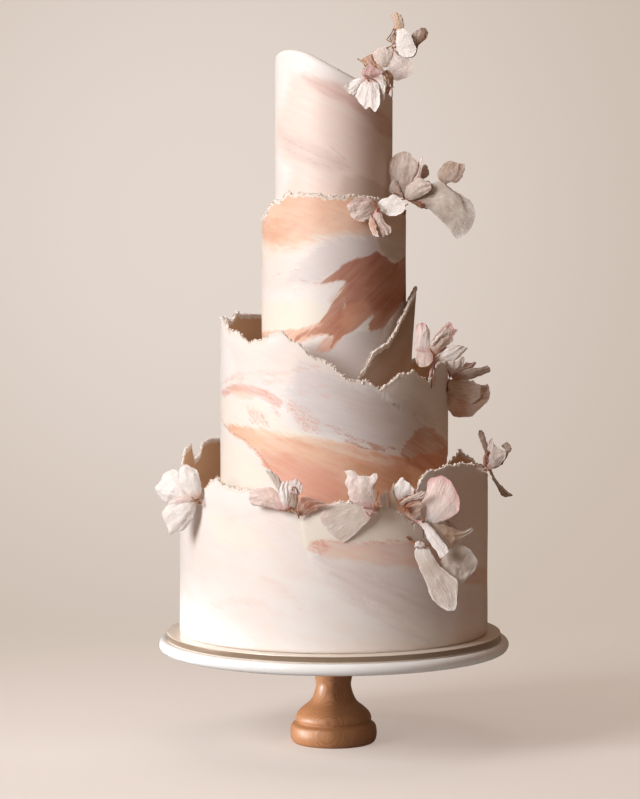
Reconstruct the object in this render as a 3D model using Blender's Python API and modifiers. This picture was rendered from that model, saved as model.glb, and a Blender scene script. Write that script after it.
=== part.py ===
"""Four-tier wedding cake in torn-edge fondant wraps, with paper-petal flowers, on a footed plate.

Metres, +Z up. The origin is the middle of the foot's underside. Angles are in degrees about the
vertical axis from +X, so that the front of the cake, which faces -Y, is at -90.
"""

import math
import random
from dataclasses import dataclass

import bmesh
import bpy
from mathutils import Quaternion, Vector

MM = 0.001
GAP = 0.3 * MM  # room left between pieces that lie against each other

# Stand
FOOT_RADIUS = 40.6 * MM
FOOT_NECK_RADIUS = 16.4 * MM
PLATE_UNDERSIDE = 88.2 * MM
PLATE_RADIUS = 163.9 * MM
PLATE_RIM_TOP = 98.8 * MM
PLATE_WELL_RADIUS = 157.2 * MM
PLATE_WELL_FLOOR = 95.5 * MM
BOARD_RADIUS = 156.2 * MM
BOARD_TOP = 105.0 * MM

# Tiers: outer radius of each wrap, and the height of the cake inside it
WRAP_THICKNESS = 3.0 * MM
TIER_RADII = (144.0 * MM, 105.8 * MM, 67.3 * MM, 54.6 * MM)
LEDGES = (212.0 * MM, 328.0 * MM, 480.0 * MM)
TORN_DEPTH = 0.8 * MM
WRAP_COLUMNS = 112
CAKE_STEPS = 48

# Rims: (angle in degrees, height in millimetres) round each torn edge, clockwise from the back left
TIER_1_RIM = (
    (-180, 252), (-173, 243), (-166, 238.5), (-147, 242), (-143, 245), (-140, 253), (-136.6, 256),
    (-133.4, 248.5), (-121, 246), (-112, 239), (-102.5, 224.5), (-92.7, 234), (-90, 237.5),
    (-84.8, 237.5), (-76.6, 232), (-69.6, 232.5), (-66.5, 229), (-63.5, 221), (-60.9, 218),
    (-59.5, 245), (-58, 256.5), (-55.6, 261.5), (-51, 264.5), (-38, 267), (-29.4, 265.5),
    (-21.6, 258), (-10.6, 253.5), (0, 250), (15, 256), (30.6, 267), (38.8, 254), (52, 250),
    (75, 258), (100, 255), (125, 270), (142.5, 279.5), (149, 279), (152.7, 275), (154.7, 264),
    (159.9, 261), (162.6, 276), (170.6, 272), (176, 262),
)
TIER_2_RIM = (
    (-180, 395), (-170, 397.5), (-161.4, 393), (-156.8, 386), (-148, 385), (-141.3, 378),
    (-137.4, 375.5), (-131.8, 377), (-119, 384.7), (-116.5, 385), (-107.3, 373.6), (-99.6, 361),
    (-94.5, 360), (-86.6, 348.5), (-83.5, 342), (-74.3, 342), (-67.5, 334.2), (-61, 341.4),
    (-55.5, 347.2), (-48, 350.3), (-40, 341.3), (-36.4, 339), (-33.5, 341), (-31, 347.7),
    (-27, 355.8), (0, 356), (48, 356), (70, 363), (95, 378), (120, 394), (132.5, 399.6),
    (151.7, 401), (160, 393.5), (170, 397),
)
TIER_3_RIM = (
    (-180, 488.5), (-160.6, 492), (-152.3, 499), (-148.5, 503), (-137, 504.3), (-129.8, 510.6),
    (-125.5, 509), (-117, 510.2), (-103, 509.5), (-98, 507.2), (-89.4, 507.3), (-83.2, 505.3),
    (-79.4, 508.3), (-63.8, 506.2), (-34, 502.7), (-12, 497.3), (20, 492), (60, 489), (100, 487),
    (150, 486.5),
)
FLAP_EDGE = (
    (-73, 340), (-70.6, 347.6), (-66.3, 354.7), (-61.7, 364.8), (-58.5, 369), (-47.8, 375.5),
    (-41.4, 385), (-34.4, 396.4), (-23.3, 412.3), (-2.5, 426.2), (10, 424), (22, 412), (35, 388),
    (48, 352), (54, 338),
)
CROWN_EDGE = (
    (-180, 641), (-154, 643.5), (-139, 643), (-119, 639), (-105, 632.5), (-88, 624.5), (-67, 615),
    (-40, 608), (-17, 604.7), (20, 602.5), (60, 605), (100, 614), (140, 629),
)

# Flap that leans off tier 3
FLAP_THICKNESS = 2.4 * MM
FLAP_FOOT_RADIUS = 71.6 * MM
FLAP_TIP_RADIUS = 77.5 * MM
FLAP_TIP = 426.2 * MM
FLAP_LEAN_POWER = 1.4  # how late on its way up the flap leans out
FLAP_COLUMNS = 32
FLAP_ROWS = 3

# Petals
PETAL_THICKNESS = 1.0 * MM
PETAL_ROWS = 5
PETAL_COLUMNS = 3
PETAL_FOOT_SHARE = 0.16  # width of the narrow foot as a share of the whole width
PETAL_TIP_SHARE = 0.94  # how far round its half sine the outline runs, which leaves the tip blunt
PETAL_FULLNESS = 0.8
PETAL_RIPPLE = 0.06  # height of the waves as a share of the width
SHORT_PETAL = 24  # millimetres, up to which a petal has one row fewer
CALYX_RADIUS = 3.0 * MM
STEM_RADIUS = 0.9 * MM


@dataclass(frozen=True)
class Petal:
    """A petal: the way it points seen from the front, its size in millimetres and its curves.

    The length is the one seen from the front; a lean toward the front adds to it.
    """

    clock: float
    length: float
    width: float
    lean: float = 12.0
    roll: float = 0.0
    cup: float = 0.18
    bow: float = 0.10
    widest: float = 0.6
    start: tuple = (0.0, 0.0, 0.0)


@dataclass(frozen=True)
class Blossom:
    """Petals and stems that meet at a calyx, placed by its angle, height and radius."""

    name: str
    angle: float
    height: float
    radius: float
    petals: tuple
    stems: tuple = ()
    standoff: float = 0.5
    colour: tuple = (0.86, 0.74, 0.70)


BLOSSOMS = (
    Blossom(
        "crown_blossom", -57.0, 619.0, 58.3,
        (
            Petal(-136, 26, 17, lean=26, widest=0.68),
            Petal(-96, 32, 17, lean=12, widest=0.66),
            Petal(-70, 29, 13, lean=28, roll=20, widest=0.62),
            Petal(-36, 22, 12, lean=34, roll=35, widest=0.6),
            Petal(66, 15, 19, lean=42, cup=0.2, widest=0.7),
            Petal(113, 22, 6, lean=8, roll=30, widest=0.45),
        ),
        stems=(((0, 0, 0), (1.2, 0.5, -8), (3, -0.2, -17)),),
        colour=(0.93, 0.85, 0.83),
    ),
    Blossom(
        "crown_spray", -27.0, 615.0, 58.3,
        (
            Petal(104, 33, 20, lean=-18, widest=0.62),
            Petal(26, 27, 24, lean=-12, cup=0.22, widest=0.6),
            Petal(-64, 15, 6, lean=4, roll=30, widest=0.5),
            Petal(-92, 17, 8, lean=14, roll=-20, widest=0.5),
            Petal(80, 27, 13, lean=-14, widest=0.72, start=(1.5, 0, 38)),
            Petal(-34, 25, 20, lean=26, cup=0.22, widest=0.55, start=(1.5, 0, 38)),
            Petal(64, 19, 14, lean=-12, widest=0.62, start=(26, -1, 30)),
        ),
        stems=(
            ((0, 0, 0), (2, 0, 15), (1.5, 0, 38)),
            ((1.5, 0, 38), (8, 2, 30), (15, 2, 25.5), (24, 0, 25.5), (26, -1, 32)),
            ((1.5, 0, 38), (-3.5, -1, 42)),
            ((1.5, 0, 38), (-2, -1, 35)),
            ((0, 0, 0), (1.4, 0.6, -9), (1.2, 1, -16)),
        ),
        colour=(0.80, 0.66, 0.60),
    ),
    Blossom(
        "upper_blossom", -17.0, 502.5, 71.2,
        (
            Petal(95, 45, 27, lean=-8, widest=0.66),
            Petal(68, 44, 9, lean=18, roll=48, widest=0.55),
            Petal(41, 30, 17, lean=30, cup=0.24, widest=0.62),
            Petal(57, 38, 12, lean=-24, widest=0.72),
            Petal(35, 30, 19, lean=-10, widest=0.62, start=(28, -2, 14)),
            Petal(-24, 63, 38, lean=10, cup=0.12, widest=0.66, start=(4, 0, 3)),
            Petal(-14, 27, 9, lean=26, roll=50, widest=0.5),
            Petal(-172, 26, 18, lean=24, widest=0.58),
        ),
        stems=(
            ((0, 0, 0), (0.6, 1, -9), (0.6, 1.2, -16)),
            ((0, 0, 0), (14, -2, 7), (28, -2, 14), (31, -2, 16)),
        ),
        colour=(0.74, 0.64, 0.59),
    ),
    Blossom(
        "upper_bud", -56.0, 499.5, 71.2,
        (
            Petal(-170, 26, 22, lean=22, widest=0.62),
            Petal(-72, 31, 17, lean=18, widest=0.66),
            Petal(-88, 28, 8, lean=34, roll=40, widest=0.6),
        ),
        colour=(0.86, 0.72, 0.67),
    ),
    Blossom(
        "side_blossom", -34.0, 361.0, 109.6,
        (
            Petal(112, 35, 14, lean=4, widest=0.62),
            Petal(-148, 13, 15, lean=30, cup=0.2, widest=0.6),
            Petal(59, 37, 14, lean=22, roll=10, widest=0.6),
            Petal(17, 33, 13, lean=-8, roll=-10, widest=0.6),
        ),
        stems=(
            ((0, 0, 0), (-1.5, 1, -10), (-3.5, 1.6, -26)),
            ((0, 0, 0), (0.5, 0.5, -12), (-0.5, 1.0, -24)),
        ),
        colour=(0.84, 0.72, 0.69),
    ),
    Blossom(
        "side_bud", -11.0, 341.0, 109.6,
        (
            Petal(55, 27, 10, lean=22, roll=25, widest=0.6),
            Petal(31, 32, 9, lean=4, roll=-20, widest=0.6),
            Petal(13, 41, 12, lean=-10, widest=0.66),
            Petal(-29, 32, 24, lean=20, widest=0.6),
            Petal(-40, 43, 36, lean=-14, cup=0.12, widest=0.58),
        ),
        colour=(0.66, 0.52, 0.45),
    ),
    Blossom(
        "right_blossom", -12.0, 259.5, 147.8,
        (
            Petal(95, 34, 7, lean=8, widest=0.66),
            Petal(43, 27, 24, lean=20, cup=0.2, widest=0.56),
            Petal(33, 35, 9, lean=-24, widest=0.72),
            Petal(-51, 38, 10, lean=-4, widest=0.74),
        ),
        colour=(0.74, 0.64, 0.62),
    ),
    Blossom(
        "left_blossom", -151.0, 232.5, 147.8,
        (
            Petal(161, 38, 29, lean=16, widest=0.66),
            Petal(103, 34, 22, lean=14, widest=0.62),
            Petal(-125, 40, 29, lean=26, widest=0.62),
        ),
        colour=(0.95, 0.92, 0.90),
    ),
    Blossom(
        "front_left_blossom", -107.0, 229.5, 147.8,
        (
            Petal(158, 34, 20, lean=24, widest=0.6),
            Petal(112, 41, 8, lean=10, roll=20, widest=0.5),
            Petal(66, 26, 14, lean=22, cup=0.24, bow=0.2, widest=0.7),
            Petal(6, 38, 13, lean=10, roll=30, widest=0.6),
        ),
        colour=(0.90, 0.83, 0.80),
    ),
    Blossom(
        "front_blossom", -76.5, 232.0, 147.8,
        (
            Petal(-157, 46, 30, lean=16, cup=0.12, widest=0.6),
            Petal(108, 35, 29, lean=12, widest=0.72),
        ),
        colour=(0.90, 0.82, 0.79),
    ),
    Blossom(
        "front_cup", -64.5, 231.5, 147.8,
        (
            Petal(32, 22, 10, lean=10, roll=14, cup=0.1, widest=0.6),
            Petal(-34, 13, 12, lean=4, cup=0.08, bow=0.02, widest=0.6),
            Petal(92, 26, 19, lean=12, widest=0.55),
            Petal(138, 25, 9, lean=8, widest=0.6),
            Petal(115, 27, 9, lean=2, widest=0.6),
        ),
        colour=(0.83, 0.72, 0.66),
    ),
    Blossom(
        "front_bloom", -59.0, 217.5, 150.8,
        (
            Petal(57, 51, 30, lean=20, cup=0.14, widest=0.64),
            Petal(-50, 40, 11, lean=30, widest=0.6),
            Petal(-14, 53, 21, lean=16, widest=0.5),
            Petal(-8, 38, 14, lean=2, widest=0.7),
        ),
        stems=(((0, 0, 0), (0.3, 1.5, -4), (0.6, 4, -12)),),
        standoff=2.0,
        colour=(0.90, 0.76, 0.74),
    ),
    Blossom(
        "front_fall", -59.6, 199.5, 147.8,
        (
            Petal(-64, 67, 28, lean=16, widest=0.62),
            Petal(-24, 56, 32, lean=6, cup=0.12, widest=0.68),
        ),
        stems=(((0, 0, 0), (-7, -1, 3), (-13, -1, 7)),),
        colour=(0.86, 0.81, 0.77),
    ),
)


def start_scene():
    """Clears the scene and gives back the collection of parts."""
    for thing in list(bpy.data.objects):
        bpy.data.objects.remove(thing, do_unlink=True)
    parts = bpy.data.collections.new("tiered_wedding_cake")
    bpy.context.scene.collection.children.link(parts)
    return parts


def material(name, colour, roughness, metallic=0.0):
    """Makes a Principled material."""
    made = bpy.data.materials.new(name)
    made.use_nodes = True
    shader = made.node_tree.nodes["Principled BSDF"]
    shader.inputs["Base Color"].default_value = (*colour, 1.0)
    shader.inputs["Roughness"].default_value = roughness
    shader.inputs["Metallic"].default_value = metallic
    return made


def add_object(name, mesh, finish, parts, smooth_angle=40.0):
    """Links a mesh as a named part with its material and smooth shading."""
    made = bpy.data.objects.new(name, mesh)
    parts.objects.link(made)
    mesh.materials.clear()
    mesh.materials.append(finish)
    mesh.shade_smooth()
    mesh.set_sharp_from_angle(angle=math.radians(smooth_angle))
    return made


def mesh_from(work, name):
    """Turns a bmesh into a mesh with its faces outward."""
    bmesh.ops.recalc_face_normals(work, faces=work.faces)
    mesh = bpy.data.meshes.new(name)
    work.to_mesh(mesh)
    work.free()
    return mesh


def evaluated_mesh(thing, name):
    """Gives a copy of an object's mesh with its modifiers applied."""
    graph = bpy.context.evaluated_depsgraph_get()
    mesh = bpy.data.meshes.new_from_object(thing.evaluated_get(graph))
    mesh.name = name
    return mesh


def turned(name, profile, finish, parts, steps):
    """Turns an open profile, listed from the top of the axis down its outer side, about Z."""
    work = bmesh.new()
    corners = [work.verts.new((radius, 0.0, height)) for radius, height in profile]
    for upper, lower in zip(corners, corners[1:]):
        work.edges.new((upper, lower))
    mesh = bpy.data.meshes.new(name)
    work.to_mesh(mesh)
    work.free()
    made = add_object(name, mesh, finish, parts)
    screw = made.modifiers.new("Turned", "SCREW")
    screw.axis = "Z"
    screw.steps = steps
    screw.render_steps = steps
    screw.use_merge_vertices = True
    screw.merge_threshold = 0.01 * MM
    return made


def arc(centre, radius, start, end, count):
    """Points on an arc in the (radius, height) plane, angles in degrees."""
    points = []
    for step in range(count + 1):
        angle = math.radians(start + (end - start) * step / count)
        points.append((centre[0] + radius * math.cos(angle), centre[1] + radius * math.sin(angle)))
    return points


def rim_height(rim, angle):
    """Height in metres of a torn edge at an angle in degrees, straight between its points."""
    angle = (angle + 180.0) % 360.0 - 180.0
    points = list(rim) + [(rim[0][0] + 360.0, rim[0][1])]
    if angle < points[0][0]:
        angle += 360.0
    for (left, low), (right, high) in zip(points, points[1:]):
        if left <= angle <= right:
            return (low + (high - low) * (angle - left) / (right - left)) * MM
    return points[-1][1] * MM


def torn_noise(seed):
    """Gives a function of the angle that roughens a torn edge."""
    draw = random.Random(seed)
    waves = [(count, draw.uniform(0.0, math.tau)) for count in (17, 29, 43)]
    return lambda angle: sum(math.sin(count * math.radians(angle) + phase) for count, phase in waves) / 2.0


def around(radius, height, angle):
    """The point at a radius, height and angle in degrees."""
    turn = math.radians(angle)
    return Vector((radius * math.cos(turn), radius * math.sin(turn), height))


def loft(work, rings, close_round, close_across):
    """Joins rings of points, each to the next, with quads split into triangles alike."""
    rows = [[work.verts.new(point) for point in ring] for ring in rings]
    if close_across:
        rows.append(rows[0])
    count = len(rows[0])
    last = count if close_round else count - 1
    for lower, upper in zip(rows, rows[1:]):
        for here in range(last):
            after = (here + 1) % count
            work.faces.new((lower[here], lower[after], upper[after]))
            work.faces.new((lower[here], upper[after], upper[here]))
    return rows


def tier_cake(name, radius, floor, ledge, finish, parts):
    """The cake inside a wrap: a plain round block with a softened top edge."""
    edge = 4.0 * MM
    outline = [(0.0, ledge), (radius - edge, ledge), (radius, ledge - edge), (radius, floor), (0.0, floor)]
    return turned(name, outline, finish, parts, steps=CAKE_STEPS)


def tier_wrap(name, radius, floor, rim, seed, finish, parts):
    """A fondant sheet round a tier: a thin tube whose upper edge is torn and stands free."""
    rough = torn_noise(seed)
    angles = [-180.0 + 360.0 * column / WRAP_COLUMNS for column in range(WRAP_COLUMNS)]
    tops = [rim_height(rim, angle) + TORN_DEPTH * rough(angle) for angle in angles]
    shoulder = 10.0 * MM
    inner = radius - WRAP_THICKNESS
    rings = (
        [around(radius, floor, angle) for angle in angles],
        [around(radius, top - shoulder, angle) for angle, top in zip(angles, tops)],
        [around(radius - 0.5 * MM, top, angle) for angle, top in zip(angles, tops)],
        [around(inner + 0.6 * MM, top - 0.6 * MM, angle) for angle, top in zip(angles, tops)],
        [around(inner, floor, angle) for angle in angles],
    )
    work = bmesh.new()
    loft(work, rings, close_round=True, close_across=True)
    return add_object(name, mesh_from(work, name), finish, parts)


def flap(finish, parts):
    """The torn sheet that leans off the right side of tier 3."""
    columns, rows = FLAP_COLUMNS, FLAP_ROWS
    rough = torn_noise(31)
    floor = LEDGES[1] + GAP
    start, end = FLAP_EDGE[0][0], FLAP_EDGE[-1][0]
    angles = [start + (end - start) * column / columns for column in range(columns + 1)]
    faces = {"outer": [], "inner": []}
    for side, shift in (("outer", FLAP_THICKNESS), ("inner", 0.0)):
        for row in range(rows + 1):
            ring = []
            for angle in angles:
                top = rim_height(FLAP_EDGE, angle) + TORN_DEPTH * 0.6 * rough(angle)
                height = floor + (top - floor) * row / rows
                rise = max(0.0, (height - floor) / (FLAP_TIP - floor))
                radius = FLAP_FOOT_RADIUS + (FLAP_TIP_RADIUS - FLAP_FOOT_RADIUS) * rise**FLAP_LEAN_POWER
                ring.append(around(radius - FLAP_THICKNESS + shift, height, angle))
            faces[side].append(ring)
    work = bmesh.new()
    rings = faces["outer"] + list(reversed(faces["inner"]))
    grid = loft(work, rings, close_round=False, close_across=True)
    for column in (0, columns):
        outer = [row[column] for row in grid[: rows + 1]]
        inner = [row[column] for row in reversed(grid[rows + 1 : 2 * rows + 2])]
        for row in range(rows):
            work.faces.new((outer[row], outer[row + 1], inner[row + 1]))
            work.faces.new((outer[row], inner[row + 1], inner[row]))
    return add_object("tier_3_flap", mesh_from(work, "tier_3_flap"), finish, parts)


def crown_tier(finish, parts):
    """The top tier: a solid round block cut on a slant, with a soft edge."""
    columns = 48
    edge = 5.0 * MM
    radius = TIER_RADII[3]
    floor = LEDGES[2] + GAP
    angles = [-180.0 + 360.0 * column / columns for column in range(columns)]
    tops = [rim_height(CROWN_EDGE, angle) for angle in angles]
    middle = sum(tops) / columns
    rings = [[around(radius, floor, angle) for angle in angles]]
    for step in range(4):
        turn = math.radians(30.0 * step)
        inset = edge * (1.0 - math.cos(turn))
        drop = edge * (1.0 - math.sin(turn))
        rings.append([around(radius - inset, top - drop, angle) for angle, top in zip(angles, tops)])
    for share in (0.6, 0.25):
        ring = []
        for angle, top in zip(angles, tops):
            ring.append(around((radius - edge) * share, middle + (top - middle) * share, angle))
        rings.append(ring)
    work = bmesh.new()
    rows = loft(work, rings, close_round=True, close_across=False)
    for row, height in ((rows[0], floor), (rows[-1], middle)):
        centre = work.verts.new((0.0, 0.0, height))
        for here in range(columns):
            work.faces.new((row[here], row[(here + 1) % columns], centre))
    return add_object("tier_4", mesh_from(work, "tier_4"), finish, parts)


def wall_radius(height):
    """Radius of the cake's outside at a height, eased from one tier to the next."""
    tops = (286.0 * MM, 406.0 * MM, 514.0 * MM, 648.0 * MM)
    radii = (*TIER_RADII, 0.0)
    ease = 10.0 * MM
    radius = radii[0]
    for top, below, above in zip(tops, radii, radii[1:]):
        share = min(1.0, max(0.0, (height - top) / ease))
        radius += (above - below) * share
    return radius


def pushed_out(point, clearance):
    """Moves a point outward so that it stays clear of the cake's outside."""
    reach = math.hypot(point.x, point.y)
    least = wall_radius(point.z) + clearance
    if reach >= least or reach < 1.0 * MM:
        return point
    scale = least / reach
    return Vector((point.x * scale, point.y * scale, point.z))


def petal_outline(along, widest):
    """Half-width of a petal as a share of its widest, from its narrow foot to its blunt tip."""
    power = math.log(0.5) / math.log(widest)
    swell = math.sin(math.pi * (PETAL_TIP_SHARE * along) ** power) ** PETAL_FULLNESS
    return PETAL_FOOT_SHARE + (1.0 - PETAL_FOOT_SHARE) * swell


def petal_mesh(petal, origin, standoff, seed):
    """A thin wavy petal as a closed solid, both faces split into triangles alike."""
    draw = random.Random(seed)
    wave = draw.uniform(0.0, math.tau)
    ripple = draw.uniform(0.6, 1.1)
    clock, lean = math.radians(petal.clock), math.radians(petal.lean)
    along = Vector((math.cos(clock), -math.tan(lean), math.sin(clock)))
    stretch = along.length
    along.normalize()
    facing = Vector((0.0, -1.0, 0.0))
    facing = (facing - along * facing.dot(along)).normalized()
    facing = Quaternion(along, math.radians(petal.roll)) @ facing
    across = facing.cross(along)
    length, width = petal.length * stretch * MM, petal.width * MM
    rows = PETAL_ROWS if petal.length > SHORT_PETAL else PETAL_ROWS - 1
    grid = []
    for row in range(rows):
        share = row / (rows - 1)
        half = 0.5 * width * petal_outline(share, petal.widest)
        rise = 4.0 * petal.bow * length * share * (1.0 - share)
        centre = origin + along * (length * share) + facing * rise
        line = []
        for column in range(PETAL_COLUMNS):
            side = 2.0 * column / (PETAL_COLUMNS - 1) - 1.0
            lift = petal.cup * width * side * side * share
            lift += PETAL_RIPPLE * width * ripple * share * math.sin(4.0 * share + 2.6 * side + wave)
            point = centre + across * (half * side) + facing * lift
            line.append(pushed_out(point, (standoff + 0.5) * MM) if row else point)
        grid.append(line)
    upper, lower = [], []
    for row in range(rows):
        over, under = [], []
        for column in range(PETAL_COLUMNS):
            down = grid[min(row + 1, rows - 1)][column] - grid[max(row - 1, 0)][column]
            over_side = grid[row][min(column + 1, PETAL_COLUMNS - 1)] - grid[row][max(column - 1, 0)]
            normal = over_side.cross(down).normalized()
            over.append(grid[row][column] + normal * (0.5 * PETAL_THICKNESS))
            under.append(grid[row][column] - normal * (0.5 * PETAL_THICKNESS))
        upper.append(over)
        lower.append(under)
    work = bmesh.new()
    rings = [top + bottom[::-1] for top, bottom in zip(upper, lower)]
    grid = loft(work, rings, close_round=True, close_across=False)
    for row in (grid[0], grid[-1]):
        for column in range(PETAL_COLUMNS - 1):
            other = 2 * PETAL_COLUMNS - 1 - column
            work.faces.new((row[column], row[column + 1], row[other - 1]))
            work.faces.new((row[column], row[other - 1], row[other]))
    return mesh_from(work, "petal")


def stem_mesh(route, origin):
    """A thin round stem along a route given from the calyx in millimetres."""
    curve = bpy.data.curves.new("stem", "CURVE")
    curve.dimensions = "3D"
    curve.bevel_depth = STEM_RADIUS
    curve.bevel_resolution = 1
    curve.use_fill_caps = True
    line = curve.splines.new("POLY")
    line.points.add(len(route) - 1)
    for point, place in zip(line.points, route):
        point.co = (*pushed_out(origin + Vector(place) * MM, STEM_RADIUS + GAP), 1.0)
    holder = bpy.data.objects.new("stem", curve)
    bpy.context.scene.collection.objects.link(holder)
    mesh = evaluated_mesh(holder, "stem")
    bpy.data.objects.remove(holder, do_unlink=True)
    work = bmesh.new()
    work.from_mesh(mesh)
    bmesh.ops.remove_doubles(work, verts=work.verts, dist=0.01 * MM)
    bmesh.ops.triangulate(work, faces=work.faces)
    return mesh_from(work, "stem")


def blossom(flower, finish, parts, seed):
    """A blossom: its petals and stems joined to a small round calyx."""
    centre = around(flower.radius * MM, flower.height * MM, flower.angle)
    pieces = bpy.data.collections.new(flower.name + "_pieces")
    bpy.context.scene.collection.children.link(pieces)
    meshes = []
    for number, petal in enumerate(flower.petals):
        origin = centre + Vector(petal.start) * MM
        meshes.append(petal_mesh(petal, origin, flower.standoff, seed * 100 + number))
    for route in flower.stems:
        meshes.append(stem_mesh(route, centre))
    for mesh in meshes:
        pieces.objects.link(bpy.data.objects.new("piece", mesh))
    work = bmesh.new()
    bmesh.ops.create_icosphere(work, subdivisions=1, radius=CALYX_RADIUS)
    bmesh.ops.translate(work, verts=work.verts, vec=centre)
    made = bpy.data.objects.new(flower.name, mesh_from(work, flower.name))
    parts.objects.link(made)
    join = made.modifiers.new("Petals", "BOOLEAN")
    join.operation = "UNION"
    join.operand_type = "COLLECTION"
    join.collection = pieces
    join.solver = "MANIFOLD"
    joined = evaluated_mesh(made, flower.name)
    bpy.data.objects.remove(made, do_unlink=True)
    for piece in list(pieces.objects):
        bpy.data.objects.remove(piece, do_unlink=True)
    bpy.data.collections.remove(pieces)
    return add_object(flower.name, joined, finish, parts, smooth_angle=50.0)


def foot_profile():
    """The turned foot from the plate's underside down to the floor."""
    top = PLATE_UNDERSIDE - GAP
    neck = FOOT_NECK_RADIUS
    return [
        (0.0, top),
        (24.0 * MM, top),
        (21.0 * MM, 76.0 * MM),
        (18.0 * MM, 63.0 * MM),
        (neck, 55.0 * MM),
        (17.2 * MM, 49.0 * MM),
        (19.6 * MM, 42.0 * MM),
        (23.0 * MM, 37.0 * MM),
        (28.0 * MM, 33.0 * MM),
        (32.4 * MM, 28.5 * MM),
        (34.8 * MM, 24.0 * MM),
        (35.3 * MM, 19.5 * MM),
        (38.4 * MM, 16.0 * MM),
        (FOOT_RADIUS - 0.4 * MM, 12.0 * MM),
        (FOOT_RADIUS, 7.0 * MM),
        (FOOT_RADIUS - 1.2 * MM, 2.0 * MM),
        (FOOT_RADIUS - 3.0 * MM, 0.0),
        (0.0, 0.0),
    ]


def plate_profile():
    """The plate: a shallow well inside a thick rounded rim."""
    half = 0.5 * (PLATE_RIM_TOP - PLATE_UNDERSIDE)
    rim = arc((PLATE_RADIUS - half, PLATE_UNDERSIDE + half), half, 110, -90, 6)
    return [
        (0.0, PLATE_WELL_FLOOR),
        (PLATE_WELL_RADIUS - 1.0 * MM, PLATE_WELL_FLOOR),
        (PLATE_WELL_RADIUS - 0.2 * MM, PLATE_WELL_FLOOR + 2.2 * MM),
        *rim,
        (0.0, PLATE_UNDERSIDE),
    ]


def board_profile():
    """The cake board: a thick disc that sits in the plate's well."""
    soft = 0.8 * MM
    floor = PLATE_WELL_FLOOR + GAP
    edge = arc((BOARD_RADIUS - soft, BOARD_TOP - soft), soft, 90, 0, 1)
    inner = PLATE_WELL_RADIUS - 2.0 * MM
    return [(0.0, BOARD_TOP), *edge, (BOARD_RADIUS, PLATE_RIM_TOP + 0.4 * MM), (inner, floor), (0.0, floor)]


def main():
    """Builds the cake and its stand."""
    parts = start_scene()
    wood = material("turned_wood", (0.53, 0.33, 0.19), 0.5)
    glaze = material("white_plate", (0.88, 0.88, 0.87), 0.2)
    board = material("cake_board", (0.66, 0.54, 0.44), 0.35)
    sponge = material("cake_ledge", (0.80, 0.66, 0.58), 0.7)
    fondant = material("fondant", (0.89, 0.82, 0.78), 0.6)
    turned("foot", foot_profile(), wood, parts, steps=28)
    turned("plate", plate_profile(), glaze, parts, steps=52)
    turned("cake_board", board_profile(), board, parts, steps=52)
    floors = (BOARD_TOP + GAP, LEDGES[0] + GAP, LEDGES[1] + GAP)
    rims = (TIER_1_RIM, TIER_2_RIM, TIER_3_RIM)
    for number, (radius, floor, ledge, rim) in enumerate(zip(TIER_RADII, floors, LEDGES, rims), start=1):
        core = radius - WRAP_THICKNESS - GAP
        tier_cake(f"tier_{number}_cake", core, floor, ledge, sponge, parts)
        tier_wrap(f"tier_{number}_wrap", radius, floor, rim, number, fondant, parts)
    flap(fondant, parts)
    crown_tier(fondant, parts)
    for number, flower in enumerate(BLOSSOMS):
        petals = material(flower.name + "_paper", flower.colour, 0.55)
        blossom(flower, petals, parts, number)


main()
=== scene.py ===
"""Looks of a tiered wedding cake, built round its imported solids.

Metres, +Z up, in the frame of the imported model. The origin is the middle of the foot's underside. Angles are in
degrees about the vertical axis from +X, so that the front of the cake, which faces -Y, is at -90. Places on a
wall are given as (angle, height in millimetres), as the torn rims are.
"""

from __future__ import annotations

import logging
import math
import random
from collections.abc import Callable, Sequence
from dataclasses import dataclass, field
from enum import Enum

import bmesh
import bpy
import numpy as np
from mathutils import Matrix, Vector, noise

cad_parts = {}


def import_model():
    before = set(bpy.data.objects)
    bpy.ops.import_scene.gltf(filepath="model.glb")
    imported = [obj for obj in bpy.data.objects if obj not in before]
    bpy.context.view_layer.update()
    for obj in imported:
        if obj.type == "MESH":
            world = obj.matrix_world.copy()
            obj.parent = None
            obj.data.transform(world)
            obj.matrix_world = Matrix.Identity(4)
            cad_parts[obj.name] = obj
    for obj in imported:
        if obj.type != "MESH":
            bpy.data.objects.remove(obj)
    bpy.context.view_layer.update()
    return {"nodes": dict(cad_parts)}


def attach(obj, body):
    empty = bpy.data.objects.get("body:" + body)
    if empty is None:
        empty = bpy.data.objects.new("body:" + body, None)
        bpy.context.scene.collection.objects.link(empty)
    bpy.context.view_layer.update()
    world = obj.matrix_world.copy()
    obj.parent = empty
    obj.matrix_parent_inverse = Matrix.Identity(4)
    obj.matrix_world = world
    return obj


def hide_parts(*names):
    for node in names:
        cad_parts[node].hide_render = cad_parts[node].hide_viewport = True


LOG = logging.getLogger("wedding_cake")
MM = 0.001
GAP = 0.3 * MM
BODY = "root"

PLATE_UNDERSIDE = 88.2 * MM
PLATE_RADIUS = 163.9 * MM
PLATE_RIM_TOP = 98.8 * MM
PLATE_WELL_RADIUS = 157.2 * MM
PLATE_WELL_FLOOR = 95.5 * MM
BOARD_RADIUS = 156.2 * MM
BOARD_TOP = 105.0 * MM
WRAP_THICKNESS = 3.0 * MM
TIER_RADII = (144.0 * MM, 105.8 * MM, 67.3 * MM, 54.6 * MM)
LEDGES = (212.0 * MM, 328.0 * MM, 480.0 * MM)
TORN_DEPTH = 0.8 * MM

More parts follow.
